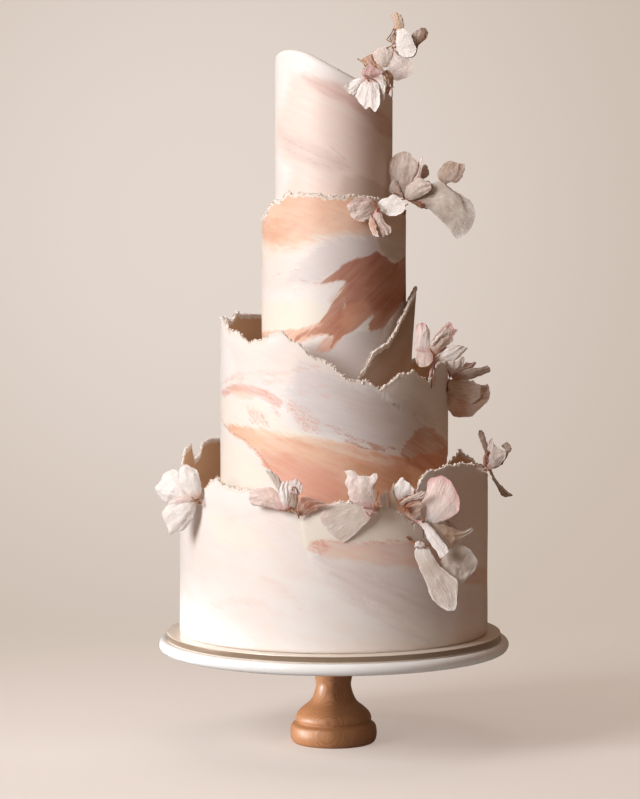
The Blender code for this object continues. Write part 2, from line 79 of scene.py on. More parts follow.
TIER_1_RIM = (
    (-180, 252), (-173, 243), (-166, 238.5), (-147, 242), (-143, 245), (-140, 253), (-136.6, 256),
    (-133.4, 248.5), (-121, 246), (-112, 239), (-102.5, 224.5), (-92.7, 234), (-90, 237.5),
    (-84.8, 237.5), (-76.6, 232), (-69.6, 232.5), (-66.5, 229), (-63.5, 221), (-60.9, 218),
    (-59.5, 245), (-58, 256.5), (-55.6, 261.5), (-51, 264.5), (-38, 267), (-29.4, 265.5),
    (-21.6, 258), (-10.6, 253.5), (0, 250), (15, 256), (30.6, 267), (38.8, 254), (52, 250),
    (75, 258), (100, 255), (125, 270), (142.5, 279.5), (149, 279), (152.7, 275), (154.7, 264),
    (159.9, 261), (162.6, 276), (170.6, 272), (176, 262),
)
TIER_2_RIM = (
    (-180, 395), (-170, 397.5), (-161.4, 393), (-156.8, 386), (-148, 385), (-141.3, 378),
    (-137.4, 375.5), (-131.8, 377), (-119, 384.7), (-116.5, 385), (-107.3, 373.6), (-99.6, 361),
    (-94.5, 360), (-86.6, 348.5), (-83.5, 342), (-74.3, 342), (-67.5, 334.2), (-61, 341.4),
    (-55.5, 347.2), (-48, 350.3), (-40, 341.3), (-36.4, 339), (-33.5, 341), (-31, 347.7),
    (-27, 355.8), (0, 356), (48, 356), (70, 363), (95, 378), (120, 394), (132.5, 399.6),
    (151.7, 401), (160, 393.5), (170, 397),
)
TIER_3_RIM = (
    (-180, 488.5), (-160.6, 492), (-152.3, 499), (-148.5, 503), (-137, 504.3), (-129.8, 510.6),
    (-125.5, 509), (-117, 510.2), (-103, 509.5), (-98, 507.2), (-89.4, 507.3), (-83.2, 505.3),
    (-79.4, 508.3), (-63.8, 506.2), (-34, 502.7), (-12, 497.3), (20, 492), (60, 489), (100, 487),
    (150, 486.5),
)
FLAP_EDGE = (
    (-73, 340), (-70.6, 347.6), (-66.3, 354.7), (-61.7, 364.8), (-58.5, 369), (-47.8, 375.5),
    (-41.4, 385), (-34.4, 396.4), (-23.3, 412.3), (-2.5, 426.2), (10, 424), (22, 412), (35, 388),
    (48, 352), (54, 338),
)
CROWN_EDGE = (
    (-180, 641), (-154, 643.5), (-139, 643), (-119, 639), (-105, 632.5), (-88, 624.5), (-67, 615),
    (-40, 608), (-17, 604.7), (20, 602.5), (60, 605), (100, 614), (140, 629),
)
FLAP_THICKNESS = 2.4 * MM
FLAP_FOOT_RADIUS = 71.6 * MM
FLAP_TIP_RADIUS = 77.5 * MM
FLAP_TIP = 426.2 * MM
FLAP_LEAN_POWER = 1.4

Feed = "float | tuple | bpy.types.NodeSocket"


class Tint(Enum):
    """Colours of the fondant, the petals and the stand, in sRGB bytes."""

    SUGAR = (244, 240, 237)
    SUGAR_WARM = (242, 232, 227)
    CRUMB = (244, 234, 224)
    SHEET_BACK = (232, 192, 154)
    LEDGE = (226, 204, 186)
    CREAM = (248, 238, 220)
    PEACH = (241, 196, 164)
    APRICOT = (230, 170, 138)
    TERRACOTTA = (196, 136, 110)
    RUST = (176, 106, 78)
    SALMON = (226, 166, 146)
    ROSE = (214, 168, 160)
    MAUVE = (208, 182, 176)
    LILAC = (220, 212, 213)
    TAUPE = (206, 186, 170)
    FLAP = (188, 164, 146)
    FLAP_SECOND = (174, 148, 130)
    # Light colour of the board's top face and of thin bands along its side: painted highlights and a painted
    # reflection.
    BOARD_PAINTED_HIGHLIGHT = (236, 224, 212)
    BLUSH = (241, 219, 209)
    SHEER = (240, 226, 212)
    TAN = (214, 164, 124)
    PETAL_WHITE = (255, 250, 246)
    PETAL_BLUSH = (247, 226, 220)
    PETAL_PINK = (234, 176, 176)
    PETAL_DUSTY = (232, 205, 194)
    PETAL_TAUPE = (218, 202, 191)
    PETAL_STRAP = (188, 162, 144)
    PETAL_SHEER = (228, 216, 204)
    PETAL_TAN = (216, 188, 164)
    PETAL_LILAC = (240, 226, 221)
    PETAL_CREAM = (255, 243, 233)
    PETAL_PEACH = (228, 182, 154)
    PETAL_RUST = (184, 126, 98)
    PETAL_BROWN = (158, 128, 108)
    NODE = (188, 122, 80)
    TWIG = (112, 68, 38)
    OAK = (184, 126, 82)
    OAK_DARK = (126, 74, 40)
    GLAZE = (251, 251, 251)
    BOARD = (152, 132, 112)

    @property
    def linear(self) -> tuple[float, float, float, float]:
        """The colour as a shader takes it."""
        shares = (byte / 255.0 for byte in self.value)
        made = [share / 12.92 if share <= 0.04045 else ((share + 0.055) / 1.055) ** 2.4 for share in shares]
        return (*made, 1.0)

    def dimmed(self, share: float) -> tuple[float, float, float, float]:
        """The colour with only a share of its light, as a shader takes it."""
        return (*(share * part for part in self.linear[:3]), 1.0)


def rim_height(rim: Sequence[tuple[float, float]], angle: float) -> float:
    """Gives the height in metres of a torn edge at an angle, straight between its points."""
    angle = (angle + 180.0) % 360.0 - 180.0
    points = list(rim) + [(rim[0][0] + 360.0, rim[0][1])]
    if angle < points[0][0]:
        angle += 360.0
    for (left, low), (right, high) in zip(points, points[1:]):
        if left <= angle <= right:
            return (low + (high - low) * (angle - left) / (right - left)) * MM
    return points[-1][1] * MM


def torn_noise(seed: int) -> Callable[[float], float]:
    """Gives the function of the angle that roughens the solid's torn edge."""
    draw = random.Random(seed)
    waves = [(count, draw.uniform(0.0, math.tau)) for count in (17, 29, 43)]
    return lambda angle: sum(math.sin(count * math.radians(angle) + phase) for count, phase in waves) / 2.0


def on_wall(radius: float, height: float, angle: float) -> Vector:
    """Gives the point at a radius, height and angle in degrees."""
    turn = math.radians(angle)
    return Vector((radius * math.cos(turn), radius * math.sin(turn), height))


def arc_place(radius: float, angle: float) -> float:
    """Gives the distance along a wall from the front, for an angle from -270 to 90, positive to the right."""
    return radius * math.radians(angle + 90.0)


def wall_radius(height: float, angle: float) -> float:
    """Gives the radius of the cake's outside at a height and angle, eased above each torn edge."""
    ease = 9.0 * MM
    leaf = FLAP_EDGE if FLAP_EDGE[0][0] < angle < FLAP_EDGE[-1][0] else TIER_3_RIM
    leaf_radius = FLAP_TIP_RADIUS if leaf is FLAP_EDGE else TIER_RADII[2]
    walls = ((TIER_RADII[0], TIER_1_RIM), (TIER_RADII[1], TIER_2_RIM), (leaf_radius, leaf), (TIER_RADII[2],
            TIER_3_RIM),
             (TIER_RADII[3], CROWN_EDGE))
    radius = TIER_RADII[0]
    for (here, rim), above in zip(walls, [wall[0] for wall in walls[1:]] + [0.0]):
        share = min(1.0, max(0.0, (height - rim_height(rim, angle) - 2.0 * MM) / ease))
        radius += min(0.0, above - here) * share
    return radius


def pushed_out(point: Vector, clearance: float) -> Vector:
    """Moves a point outward so that it stays clear of the cake's outside."""
    reach = math.hypot(point.x, point.y)
    least = wall_radius(point.z, math.degrees(math.atan2(point.y, point.x))) + clearance
    if reach >= least or reach < 1.0 * MM:
        return point
    scale = least / reach
    return Vector((point.x * scale, point.y * scale, point.z))


class Wiring:
    """Wires the nodes of one tree."""

    def __init__(self, tree: bpy.types.NodeTree) -> None:
        """Keeps the tree that is wired."""
        self.tree = tree

    def node(self, kind: str, feeds: dict | None = None, **settings: object) -> bpy.types.Node:
        """Adds a node.

        Args:
            kind: Blender's name of the node's type.
            feeds: A value or a socket for each input, by name or place.
            settings: The node's own options.

        Returns:
            The node.
        """
        made = self.tree.nodes.new(kind)
        for name, value in settings.items():
            setattr(made, name, value)
        for key, feed in (feeds or {}).items():
            if isinstance(feed, bpy.types.NodeSocket):
                self.tree.links.new(feed, made.inputs[key])
            else:
                made.inputs[key].default_value = feed
        return made

    def math(self, operation: str, first: Feed, second: Feed = 0.0, third: Feed = 0.0) -> bpy.types.NodeSocket:
        """Adds a Math node and gives its output."""
        return self.node("ShaderNodeMath", {0: first, 1: second, 2: third}, operation=operation).outputs[0]

    def vector(self, operation: str, first: Feed, second: Feed = (0.0, 0.0, 0.0)) -> bpy.types.NodeSocket:
        """Adds a Vector Math node and gives its vector output."""
        return self.node("ShaderNodeVectorMath", {0: first, 1: second}, operation=operation).outputs[0]

    def scaled(self, vector: Feed, scale: Feed) -> bpy.types.NodeSocket:
        """Gives a vector times a number."""
        return self.node("ShaderNodeVectorMath", {0: vector, "Scale": scale}, operation="SCALE").outputs[0]

    def noise(self, place: Feed, scale: float, detail: float = 2.0, roughness: float = 0.5) -> bpy.types.Node:
        """Adds a Noise Texture node."""
        feeds = {"Vector": place, "Scale": scale, "Detail": detail, "Roughness": roughness}
        return self.node("ShaderNodeTexNoise", feeds)

    def ramp(self, value: Feed, low: Feed, high: Feed, start: float = 0.0, end: float = 1.0) -> bpy.types.NodeSocket:
        """Gives a smooth step from start at low to end at high."""
        feeds = {"Value": value, "From Min": low, "From Max": high, "To Min": start, "To Max": end}
        return self.node("ShaderNodeMapRange", feeds, interpolation_type="SMOOTHSTEP").outputs[0]

    def blend(self, share: Feed, low: Feed, high: Feed, mode: str = "MIX") -> bpy.types.NodeSocket:
        """Gives a colour between low and high."""
        made = self.node("ShaderNodeMix", {0: share, 6: low, 7: high}, data_type="RGBA", blend_type=mode)
        return made.outputs[2]

    def dress(self, shader: bpy.types.Node, colour: Feed, rough: Feed, height: Feed, strength: float, reach: float
              ) -> None:
        """Feeds a Principled shader its colour, its roughness and the relief that a height gives through a bump."""
        bump = self.node("ShaderNodeBump", {"Height": height, "Strength": strength, "Distance": reach}).outputs[0]
        for name, feed in (("Base Color", colour), ("Roughness", rough), ("Normal", bump)):
            self.tree.links.new(feed, shader.inputs[name])

    def mapped(self, place: Feed, move: tuple = (0, 0, 0), turn: tuple = (0, 0, 0), scale: tuple = (1, 1, 1)
               ) -> bpy.types.NodeSocket:
        """Gives a place moved, turned in radians and scaled."""
        return self.node("ShaderNodeMapping", {0: place, 1: move, 2: turn, 3: scale}).outputs[0]


class GroupMaker:
    """Makes shader node groups with named inputs and outputs."""

    def __init__(self, name: str, inputs: dict[str, object], outputs: Sequence[str]) -> None:
        """Makes an empty group.

        Args:
            name: The group's name.
            inputs: Each input's default: a number, or a tuple for a vector.
            outputs: The names of the numbers that it puts out.
        """
        self.tree = bpy.data.node_groups.new(name, "ShaderNodeTree")
        for key, value in inputs.items():
            kind = "NodeSocketVector" if isinstance(value, tuple) else "NodeSocketFloat"
            self.tree.interface.new_socket(key, in_out="INPUT", socket_type=kind).default_value = value
        for key in outputs:
            self.tree.interface.new_socket(key, in_out="OUTPUT", socket_type="NodeSocketFloat")
        self.wiring = Wiring(self.tree)
        self.entry = self.wiring.node("NodeGroupInput").outputs
        self.exit = self.wiring.node("NodeGroupOutput").inputs

    def give(self, name: str, socket: bpy.types.NodeSocket) -> None:
        """Feeds one of the group's outputs."""
        self.tree.links.new(socket, self.exit[name])

    def sheared(self) -> bpy.types.NodeSocket:
        """Gives the place with its height sheared by the group's Slope."""
        place = self.wiring.node("ShaderNodeTexCoord").outputs["Object"]
        parts = self.wiring.node("ShaderNodeSeparateXYZ", {0: place}).outputs
        height = self.wiring.math("MULTIPLY_ADD", parts[0], self.entry["Slope"], parts[2])
        return self.wiring.node("ShaderNodeCombineXYZ", {0: parts[0], 1: parts[1], 2: height}).outputs[0]


def flow_group() -> bpy.types.NodeTree:
    """Makes the group of the noises that all the paints on a wall share, stretched along the way they run."""
    maker = GroupMaker("paint flow", {"Slope": 0.25}, ("Mottle", "Grain", "Specks"))
    w, sheared = maker.wiring, maker.sheared()
    maker.give("Mottle", w.noise(w.mapped(sheared, (9, 4, 2), scale=(20, 20, 42)), 1.0, 4.0, 0.6).outputs[0])
    maker.give("Grain", w.noise(w.mapped(sheared, (5, 5, 1), scale=(240, 240, 700)), 1.0, 4.0, 0.7).outputs[0])
    maker.give("Specks", w.noise(w.mapped(sheared, scale=(420, 420, 620)), 1.0, 3.0, 0.7).outputs[0])
    return maker.tree


def stroke_group() -> bpy.types.NodeTree:
    """Makes the group of one way of brushing: its feathered edge and the streaks of its bristles."""
    maker = GroupMaker("brush stroke", {"Slope": 0.3}, ("Feather", "Streak"))
    w, sheared = maker.wiring, maker.sheared()
    maker.give("Feather", w.noise(w.mapped(sheared, scale=(75, 75, 260)), 1.0, 5.0, 0.68).outputs[0])
    maker.give("Streak", w.noise(w.mapped(sheared, (3, 1, 7), scale=(30, 30, 260)), 1.0, 3.0, 0.6).outputs[0])
    return maker.tree


def crumb_group() -> bpy.types.NodeTree:
    """Makes the group that turns the distance from a torn edge into crumbly white and its relief."""
    maker = GroupMaker("torn crumb", {"Distance": 0.0, "Reach": 3.0 * MM}, ("Mask", "Relief"))
    w, entry = maker.wiring, maker.entry
    place = w.node("ShaderNodeTexCoord").outputs["Object"]
    lumps = w.noise(place, 900.0, 3.0, 0.6).outputs[0]
    ragged = w.noise(place, 420.0, 3.0, 0.7).outputs[0]
    reach = w.math("MULTIPLY", entry["Reach"], w.math("MULTIPLY", ragged, 2.0))
    near = w.math("SUBTRACT", reach, entry["Distance"])
    mask = w.ramp(near, -0.0003, 0.0004)
    maker.give("Mask", mask)
    maker.give("Relief", w.math("MULTIPLY", mask, lumps))
    return maker.tree


def vein_group() -> bpy.types.NodeTree:
    """Makes the group of a petal's fanned veins and crinkles, from its own map: across, and along from the foot."""
    maker = GroupMaker("petal veins", {"Count": 9.0}, ("Veins", "Crinkle", "Cloud"))
    w, entry = maker.wiring, maker.entry
    chart = w.node("ShaderNodeUVMap").outputs[0]
    place = w.node("ShaderNodeTexCoord").outputs["Object"]
    shift = w.scaled(w.vector("SUBTRACT", w.noise(place, 130.0, 2.0).outputs["Color"], (0.5, 0.5, 0.5)), 0.16)
    wavy = w.vector("ADD", chart, shift)
    parts = w.node("ShaderNodeSeparateXYZ", {0: wavy}).outputs
    fan = w.math("MULTIPLY", parts[0], entry["Count"])
    ridge = w.math("ABSOLUTE", w.math("SUBTRACT", w.math("FRACT", fan), 0.5))
    main = w.ramp(ridge, 0.40, 0.5)
    netted = w.node("ShaderNodeCombineXYZ", {0: fan, 1: w.math("MULTIPLY", parts[1], 5.0)}).outputs[0]
    cells = w.node("ShaderNodeTexVoronoi", {"Vector": netted, "Scale": 1.3}, feature="DISTANCE_TO_EDGE").outputs[0]
    net = w.ramp(cells, 0.09, 0.0)
    maker.give("Veins", w.math("MAXIMUM", w.math("MULTIPLY", main, 0.8), w.math("MULTIPLY", net, 0.55)))
    creased = w.mapped(wavy, scale=(9.0, 3.4, 1.0))
    rough = w.noise(w.vector("ADD", creased, w.scaled(place, 60.0)), 1.0, 4.0, 0.62).outputs[0]
    fold = w.math("ABSOLUTE", w.math("SUBTRACT", rough, 0.5))
    maker.give("Crinkle", w.ramp(fold, 0.0, 0.16))
    maker.give("Cloud", w.noise(place, 90.0, 3.0, 0.55).outputs[0])
    return maker.tree


def wood_group() -> bpy.types.NodeTree:
    """Makes the group of upright wood grain: growth rings about a line beside the piece, pores and fibres."""
    maker = GroupMaker("turned wood grain", {"Ring Width": 1.9 * MM}, ("Rings", "Pores", "Fibre"))
    w, entry = maker.wiring, maker.entry
    place = w.node("ShaderNodeTexCoord").outputs["Object"]
    leaning = w.mapped(place, (0.020, 0.120, 0.0), (0.16, -0.07, 0.0))
    wobble = w.noise(w.mapped(place, scale=(30, 30, 14)), 1.0, 3.0).outputs["Color"]
    bent = w.vector("ADD", leaning, w.scaled(w.vector("SUBTRACT", wobble, (0.5, 0.5, 0.5)), 0.0042))
    parts = w.node("ShaderNodeSeparateXYZ", {0: bent}).outputs
    squares = w.math("ADD", w.math("MULTIPLY", parts[0], parts[0]), w.math("MULTIPLY", parts[1], parts[1]))
    rings = w.math("FRACT", w.math("DIVIDE", w.math("SQRT", squares), entry["Ring Width"]))
    late = w.ramp(rings, 0.35, 0.95)
    early = w.ramp(rings, 1.0, 0.96)
    maker.give("Rings", w.math("MULTIPLY", late, early))
    pores = w.noise(w.mapped(place, scale=(1500, 1500, 110)), 1.0, 3.0, 0.6).outputs[0]
    maker.give("Pores", w.ramp(pores, 0.56, 0.68))
    maker.give("Fibre", w.noise(w.mapped(place, scale=(620, 620, 60)), 1.0, 4.0, 0.65).outputs[0])
    return maker.tree


class Shared:
    """The node groups that the finishes place, each built once."""

    def __init__(self) -> None:
        """Builds every group."""
        self.flow = flow_group()
        self.stroke = stroke_group()
        self.crumb = crumb_group()
        self.veins = vein_group()
        self.wood = wood_group()


def new_material(name: str, roughness: float) -> tuple[bpy.types.Material, Wiring, bpy.types.Node]:
    """Makes a material.

    Args:
        name: The material's name.
        roughness: The roughness where nothing is fed to it.

    Returns:
        The material, its wiring and its Principled shader.
    """
    made = bpy.data.materials.new(name)
    made.use_nodes = True
    wiring = Wiring(made.node_tree)
    shader = made.node_tree.nodes["Principled BSDF"]
    shader.inputs["Roughness"].default_value = roughness
    return made, wiring, shader


def traced(text: str) -> list[tuple[float, float]]:
    """Reads a trace: places parted by blanks, each the pixels from the left and from the top."""
    return [tuple(float(part) for part in place.split(",")) for place in text.split()]


def smooth_run(places: Sequence[tuple[float, float]], count: int) -> np.ndarray:
    """Gives points at even steps on the smooth curve through some places."""
    knots = [places[0], *places, places[-1]]
    fine = []
    for a, b, c, d in zip(knots, knots[1:], knots[2:], knots[3:]):
        a, b, c, d = (np.array(place, dtype=float) for place in (a, b, c, d))
        for t in np.linspace(0.0, 1.0, 9)[:-1]:
            fine.append(b + 0.5 * t * (c - a + t * (2 * a - 5 * b + 4 * c - d + t * (3 * (b - c) + d - a))))
    fine.append(np.array(places[-1], dtype=float))
    fine = np.array(fine)
    gone = np.concatenate([[0.0], np.cumsum(np.linalg.norm(np.diff(fine, axis=0), axis=1))])
    steps = np.linspace(0.0, gone[-1], count)
    return np.stack([np.interp(steps, gone, fine[:, axis]) for axis in (0, 1)], axis=1)


class Sight:
    """Turns places in the photograph into points of space, through the camera that frames it."""

    eye = Vector((-0.0128, -2.060, 0.4135))
    pitch = math.radians(2.56)
    focal = 2206.0
    middle = (320.0, 399.5)

    def point(self, across: float, down: float, depth: float) -> Vector:
        """Gives the point that shows at a place of the photograph.

        Args:
            across: The place's pixels from the left.
            down: Its pixels from the top.
            depth: The point's Y in metres.

        Returns:
            The point.
        """
        side = (across - self.middle[0]) / self.focal
        rise = (self.middle[1] - down) / self.focal
        ahead = math.cos(self.pitch) + rise * math.sin(self.pitch)
        scale = (depth - self.eye.y) / ahead
        height = self.eye.z + scale * (rise * math.cos(self.pitch) - math.sin(self.pitch))
        return Vector((self.eye.x + scale * side, depth, height))

    def on_front(self, across: float, down: float, radius: float) -> tuple[float, float]:
        """Gives the place on a wall's front that shows there, as metres along the wall and metres up.

        Args:
            across: The place's pixels from the left.
            down: Its pixels from the top.
            radius: The wall's radius in metres.

        Returns:
            The distance along the wall from the front, positive to the right, and the height.
        """
        way = self.point(across, down, 0.0) - self.eye
        square = way.x**2 + way.y**2
        half = self.eye.x * way.x + self.eye.y * way.y
        inner = half**2 - square * (self.eye.x**2 + self.eye.y**2 - radius**2)
        spot = self.eye + way * ((-half - math.sqrt(max(inner, 0.0))) / square)
        beyond = max(0.0, math.hypot(spot.x, spot.y) - radius)
        run = radius * math.atan2(spot.x, -spot.y)
        return run + math.copysign(3.0 * beyond, run), spot.z


@dataclass(frozen=True)
class Sweep:
    """One sweep of the brush on a wall, between two places given as (angle, height in millimetres)."""

    start: tuple[float, float]
    end: tuple[float, float]
    width: float
    bend: float = 0.0
    taper: float = 0.0

    def depth(self, run: np.ndarray, height: np.ndarray, radius: float) -> np.ndarray:
        """Gives how deep each place of a wall lies in the sweep, in metres."""
        deepest = np.full(run.shape, -1.0)
        for turn in (-360.0, 0.0, 360.0):
            left, low = arc_place(radius, self.start[0] + turn), self.start[1] * MM
            right, high = arc_place(radius, self.end[0] + turn), self.end[1] * MM
            reach = 0.5 * max(math.hypot(right - left, high - low), 1.0 * MM)
            slant = math.atan2(high - low, right - left)
            over, up = run - 0.5 * (left + right), height - 0.5 * (low + high)
            along = (over * math.cos(slant) + up * math.sin(slant)) / reach
            half = 0.5 * self.width * MM * (1.0 + self.taper * np.clip(along, -1.0, 1.0))
            aside = up * math.cos(slant) - over * math.sin(slant) - self.bend * MM * (1.0 - along**2)
            deepest = np.maximum(deepest, half * (1.0 - np.sqrt(along**4 + (aside / half) ** 2)))
        return deepest


@dataclass(frozen=True)
class Patch:
    """A mark on a wall's front, traced as it is seen there: an outline or, with a width in millimetres, a line."""

    trace: str
    width: float = 0.0

    def depth(self, run: np.ndarray, height: np.ndarray, radius: float) -> np.ndarray:
        """Gives how deep each place of a wall lies in the mark, in metres."""
        sight = Sight()
        places = [sight.on_front(across, down, radius) for across, down in traced(self.trace)]
        if not self.width:
            places.append(places[0])
        nearest = np.full(run.shape, 1.0)
        inside = np.zeros(run.shape, dtype=bool)
        for (left, low), (right, high) in zip(places, places[1:]):
            over, up = right - left, high - low
            share = np.clip(((run - left) * over + (height - low) * up) / max(over**2 + up**2, 1e-12), 0.0, 1.0)
            nearest = np.minimum(nearest, np.hypot(run - left - share * over, height - low - share * up))
            if up:
                crossed = (low > height) != (high > height)
                inside ^= crossed & (run < left + (height - low) * over / up)
        if self.width:
            return 0.5 * self.width * MM - nearest
        return np.where(inside, nearest, -nearest)


@dataclass(frozen=True)
class Paint:
    """A colour laid on a wall in one or more marks.

    The softness and raggedness of its edge are in millimetres. Streaky is how much of it the bristles leave
    bare, speckle how far it breaks into specks, and slope how steeply the bristles ran down to the right.
    """

    tint: Tint
    marks: tuple[Sweep | Patch, ...]
    strength: float = 0.9
    soft: float = 3.0
    ragged: float = 5.0
    streaky: float = 0.35
    speckle: float = 0.0
    second: Tint | None = None
    slope: float = 0.3


@dataclass(frozen=True)
class Fondant:
    """The finish of a wall of rolled fondant: marbling, brushed colour, torn white edge and tan back."""

    name: str
    paints: tuple[Paint, ...]
    slope: float = 0.25
    ground: Tint = Tint.SUGAR
    ground_second: Tint = Tint.SUGAR_WARM
    back: Tint = Tint.SHEET_BACK
    roughness: float = 0.52
    reach: float = 3.0

    def material(self, shared: Shared) -> bpy.types.Material:
        """Builds the material."""
        made, w, shader = new_material(self.name, self.roughness)
        flow = w.node("ShaderNodeGroup", {"Slope": self.slope}, node_tree=shared.flow).outputs
        colour = w.blend(w.ramp(flow["Mottle"], 0.35, 0.68), self.ground.linear, self.ground_second.linear)
        strokes = {}
        for number, paint in enumerate(self.paints):
            if paint.slope not in strokes:
                strokes[paint.slope] = w.node("ShaderNodeGroup", {"Slope": paint.slope},
                        node_tree=shared.stroke).outputs
            colour = self._laid(w, flow, strokes[paint.slope], number, colour, paint)
        edge = w.node("ShaderNodeAttribute", attribute_name="edge").outputs["Fac"]
        crumb = w.node("ShaderNodeGroup", {"Distance": edge, "Reach": self.reach * MM},
                node_tree=shared.crumb).outputs
        back = w.node("ShaderNodeAttribute", attribute_name="back").outputs["Fac"]
        tan = w.blend(flow["Mottle"], self.back.linear, self.back.dimmed(0.8))
        colour = w.blend(back, colour, tan)
        colour = w.blend(w.math("MULTIPLY", crumb["Mask"], 0.92), colour, Tint.CRUMB.linear)
        rough = w.ramp(flow["Mottle"], 0.2, 0.8, self.roughness - 0.08, self.roughness + 0.10)
        rough = w.math("MULTIPLY_ADD", crumb["Mask"], 0.25, rough)
        height = w.math("MULTIPLY_ADD", flow["Grain"], 0.35, w.math("MULTIPLY", flow["Mottle"], 0.5))
        height = w.math("MULTIPLY_ADD", crumb["Relief"], 7.0, height)
        w.dress(shader, colour, rough, height, 0.35, 0.0004)
        shader.inputs["Subsurface Weight"].default_value = 0.08
        shader.inputs["Subsurface Radius"].default_value = (1.0, 0.6, 0.4)
        shader.inputs["Subsurface Scale"].default_value = 0.002
        return made

    def _laid(self, w: Wiring, flow: object, stroke: object, number: int, colour: object, paint: Paint) -> object:
        """Lays one paint over a colour."""
        depth = w.node("ShaderNodeAttribute", attribute_name=f"paint_{number}").outputs["Fac"]
        feather = w.math("SUBTRACT", stroke["Feather"], 0.5)
        depth = w.math("MULTIPLY_ADD", feather, 2.0 * paint.ragged * MM, depth)
        mask = w.ramp(depth, -paint.soft * MM, paint.soft * MM)
        thin = w.ramp(stroke["Streak"], 0.28, 0.72, paint.strength, paint.strength * (1.0 - paint.streaky))
        mask = w.math("MULTIPLY", mask, thin)
        if paint.speckle:
            mask = w.math("MULTIPLY", mask, w.ramp(flow["Specks"], 0.47, 0.56, 1.0 - paint.speckle, 1.0))
        tint = paint.tint.linear
        if paint.second is not None:
            tint = w.blend(w.ramp(flow["Mottle"], 0.36, 0.64), paint.tint.linear, paint.second.linear)
        return w.blend(mask, colour, tint)


@dataclass(frozen=True)
class PetalPaper:
    """The finish of the petals: dried translucent paper in each petal's own colours, with veins, crinkles and painted
    shade darkening their creases.
    """

    name: str = "petal_paper"
    roughness: float = 0.46

    def material(self, shared: Shared) -> bpy.types.Material:
        """Builds the material."""
        made, w, shader = new_material(self.name, self.roughness)
        colour = w.node("ShaderNodeAttribute", attribute_name="petal_colour").outputs["Color"]
        sheer = w.node("ShaderNodeAttribute", attribute_name="solid").outputs["Fac"]
        veins = w.node("ShaderNodeGroup", node_tree=shared.veins).outputs
        shade = w.blend(w.ramp(veins["Cloud"], 0.36, 0.66, 0.0, 0.35), colour, Tint.PETAL_WHITE.linear)
        # The darker colour draws the veins, which are the petals' own, and darkens the crinkles' creases as painted
        # shade.
        darker = w.blend(1.0, colour, (0.78, 0.64, 0.60, 1.0), "MULTIPLY")
        crease_shaded = w.blend(w.ramp(veins["Crinkle"], 0.60, 0.18, 0.0, 0.28), shade, darker)
        painted = w.blend(w.math("MULTIPLY", veins["Veins"], 0.15), crease_shaded, darker)
        rough = w.ramp(veins["Cloud"], 0.2, 0.8, self.roughness - 0.06, self.roughness + 0.12)
        height = w.math("MULTIPLY_ADD", veins["Veins"], 0.5, veins["Crinkle"])
        w.dress(shader, painted, rough, height, 0.55, 0.0006)
        w.tree.links.new(sheer, shader.inputs["Alpha"])
        shader.inputs["Subsurface Weight"].default_value = 0.12
        shader.inputs["Subsurface Radius"].default_value = (1.0, 0.88, 0.8)
        shader.inputs["Subsurface Scale"].default_value = 0.001
        shader.inputs["Sheen Weight"].default_value = 0.4
        return made


@dataclass(frozen=True)
class Plain:
    """A finish of one soft colour that varies a little, for ledges, crumbs, twigs and nodes."""

    name: str
    tint: Tint
    second: Tint
    roughness: float
    scale: float
    relief: float = 0.0003

    def material(self, shared: Shared) -> bpy.types.Material:
        """Builds the material."""
        made, w, shader = new_material(self.name, self.roughness)
        place = w.node("ShaderNodeTexCoord").outputs["Object"]
        cloud = w.noise(place, self.scale, 4.0, 0.6).outputs[0]
        mixed = w.blend(w.ramp(cloud, 0.32, 0.68), self.tint.linear, self.second.linear)
        rough = w.ramp(cloud, 0.2, 0.8, self.roughness - 0.07, self.roughness + 0.08)
        w.dress(shader, mixed, rough, cloud, 0.5, self.relief)
        return made


@dataclass(frozen=True)
class TurnedOak:
    """The finish of the wooden foot: oiled oak with rings, pores and fibre."""

    name: str = "turned_oak"

    def material(self, shared: Shared) -> bpy.types.Material:
        """Builds the material."""
        made, w, shader = new_material(self.name, 0.42)
        grain = w.node("ShaderNodeGroup", node_tree=shared.wood).outputs
        light = w.blend(w.ramp(grain["Fibre"], 0.3, 0.7), Tint.OAK.linear, (0.36, 0.17, 0.075, 1.0))
        ringed = w.blend(w.math("MULTIPLY", grain["Rings"], 0.40), light, Tint.OAK_DARK.linear)
        pored = w.blend(w.math("MULTIPLY", grain["Pores"], 0.48), ringed, (0.16, 0.07, 0.03, 1.0))
        rough = w.ramp(grain["Fibre"], 0.3, 0.7, 0.36, 0.52)
        w.dress(shader, pored, rough, w.math("SUBTRACT", grain["Fibre"], grain["Pores"]), 0.35, 0.0002)
        return made


@dataclass(frozen=True)
class Gloss:
    """A glossy or satin finish for the plate and the board, faintly uneven as glaze and foil are; the board's top
    face and the edges of its side take a light colour as painted highlights and a painted reflection.
    """

    name: str
    tint: Tint
    roughness: float
    coat: float
    metallic: float = 0.0
    edge: Tint | None = None

    def material(self, shared: Shared) -> bpy.types.Material:
        """Builds the material."""
        made, w, shader = new_material(self.name, self.roughness)
        place = w.node("ShaderNodeTexCoord").outputs["Object"]
        cloud = w.noise(place, 28.0, 3.0, 0.55).outputs[0]
        colour = w.blend(cloud, self.tint.linear, self.tint.dimmed(0.94))
        # The board's top face and thin bands at the top and bottom of its side take a light colour: painted
        # highlights and a painted reflection of the cake.
        if self.edge is not None:
            height = w.node("ShaderNodeSeparateXYZ", {0: place}).outputs[2]
            above = w.ramp(height, BOARD_TOP - 0.9 * MM, BOARD_TOP - 0.5 * MM)
            below = w.ramp(height, PLATE_RIM_TOP + 1.0 * MM, PLATE_RIM_TOP + 0.6 * MM)
            colour = w.blend(w.math("MAXIMUM", above, below), colour, self.edge.linear)
        rough = w.ramp(cloud, 0.25, 0.75, self.roughness, self.roughness + 0.07)
        w.dress(shader, colour, rough, w.noise(place, 160.0, 2.0).outputs[0], 0.12, 0.0003)
        shader.inputs["Coat Weight"].default_value = self.coat
        shader.inputs["Coat Roughness"].default_value = 0.06
        shader.inputs["Metallic"].default_value = self.metallic
        return made


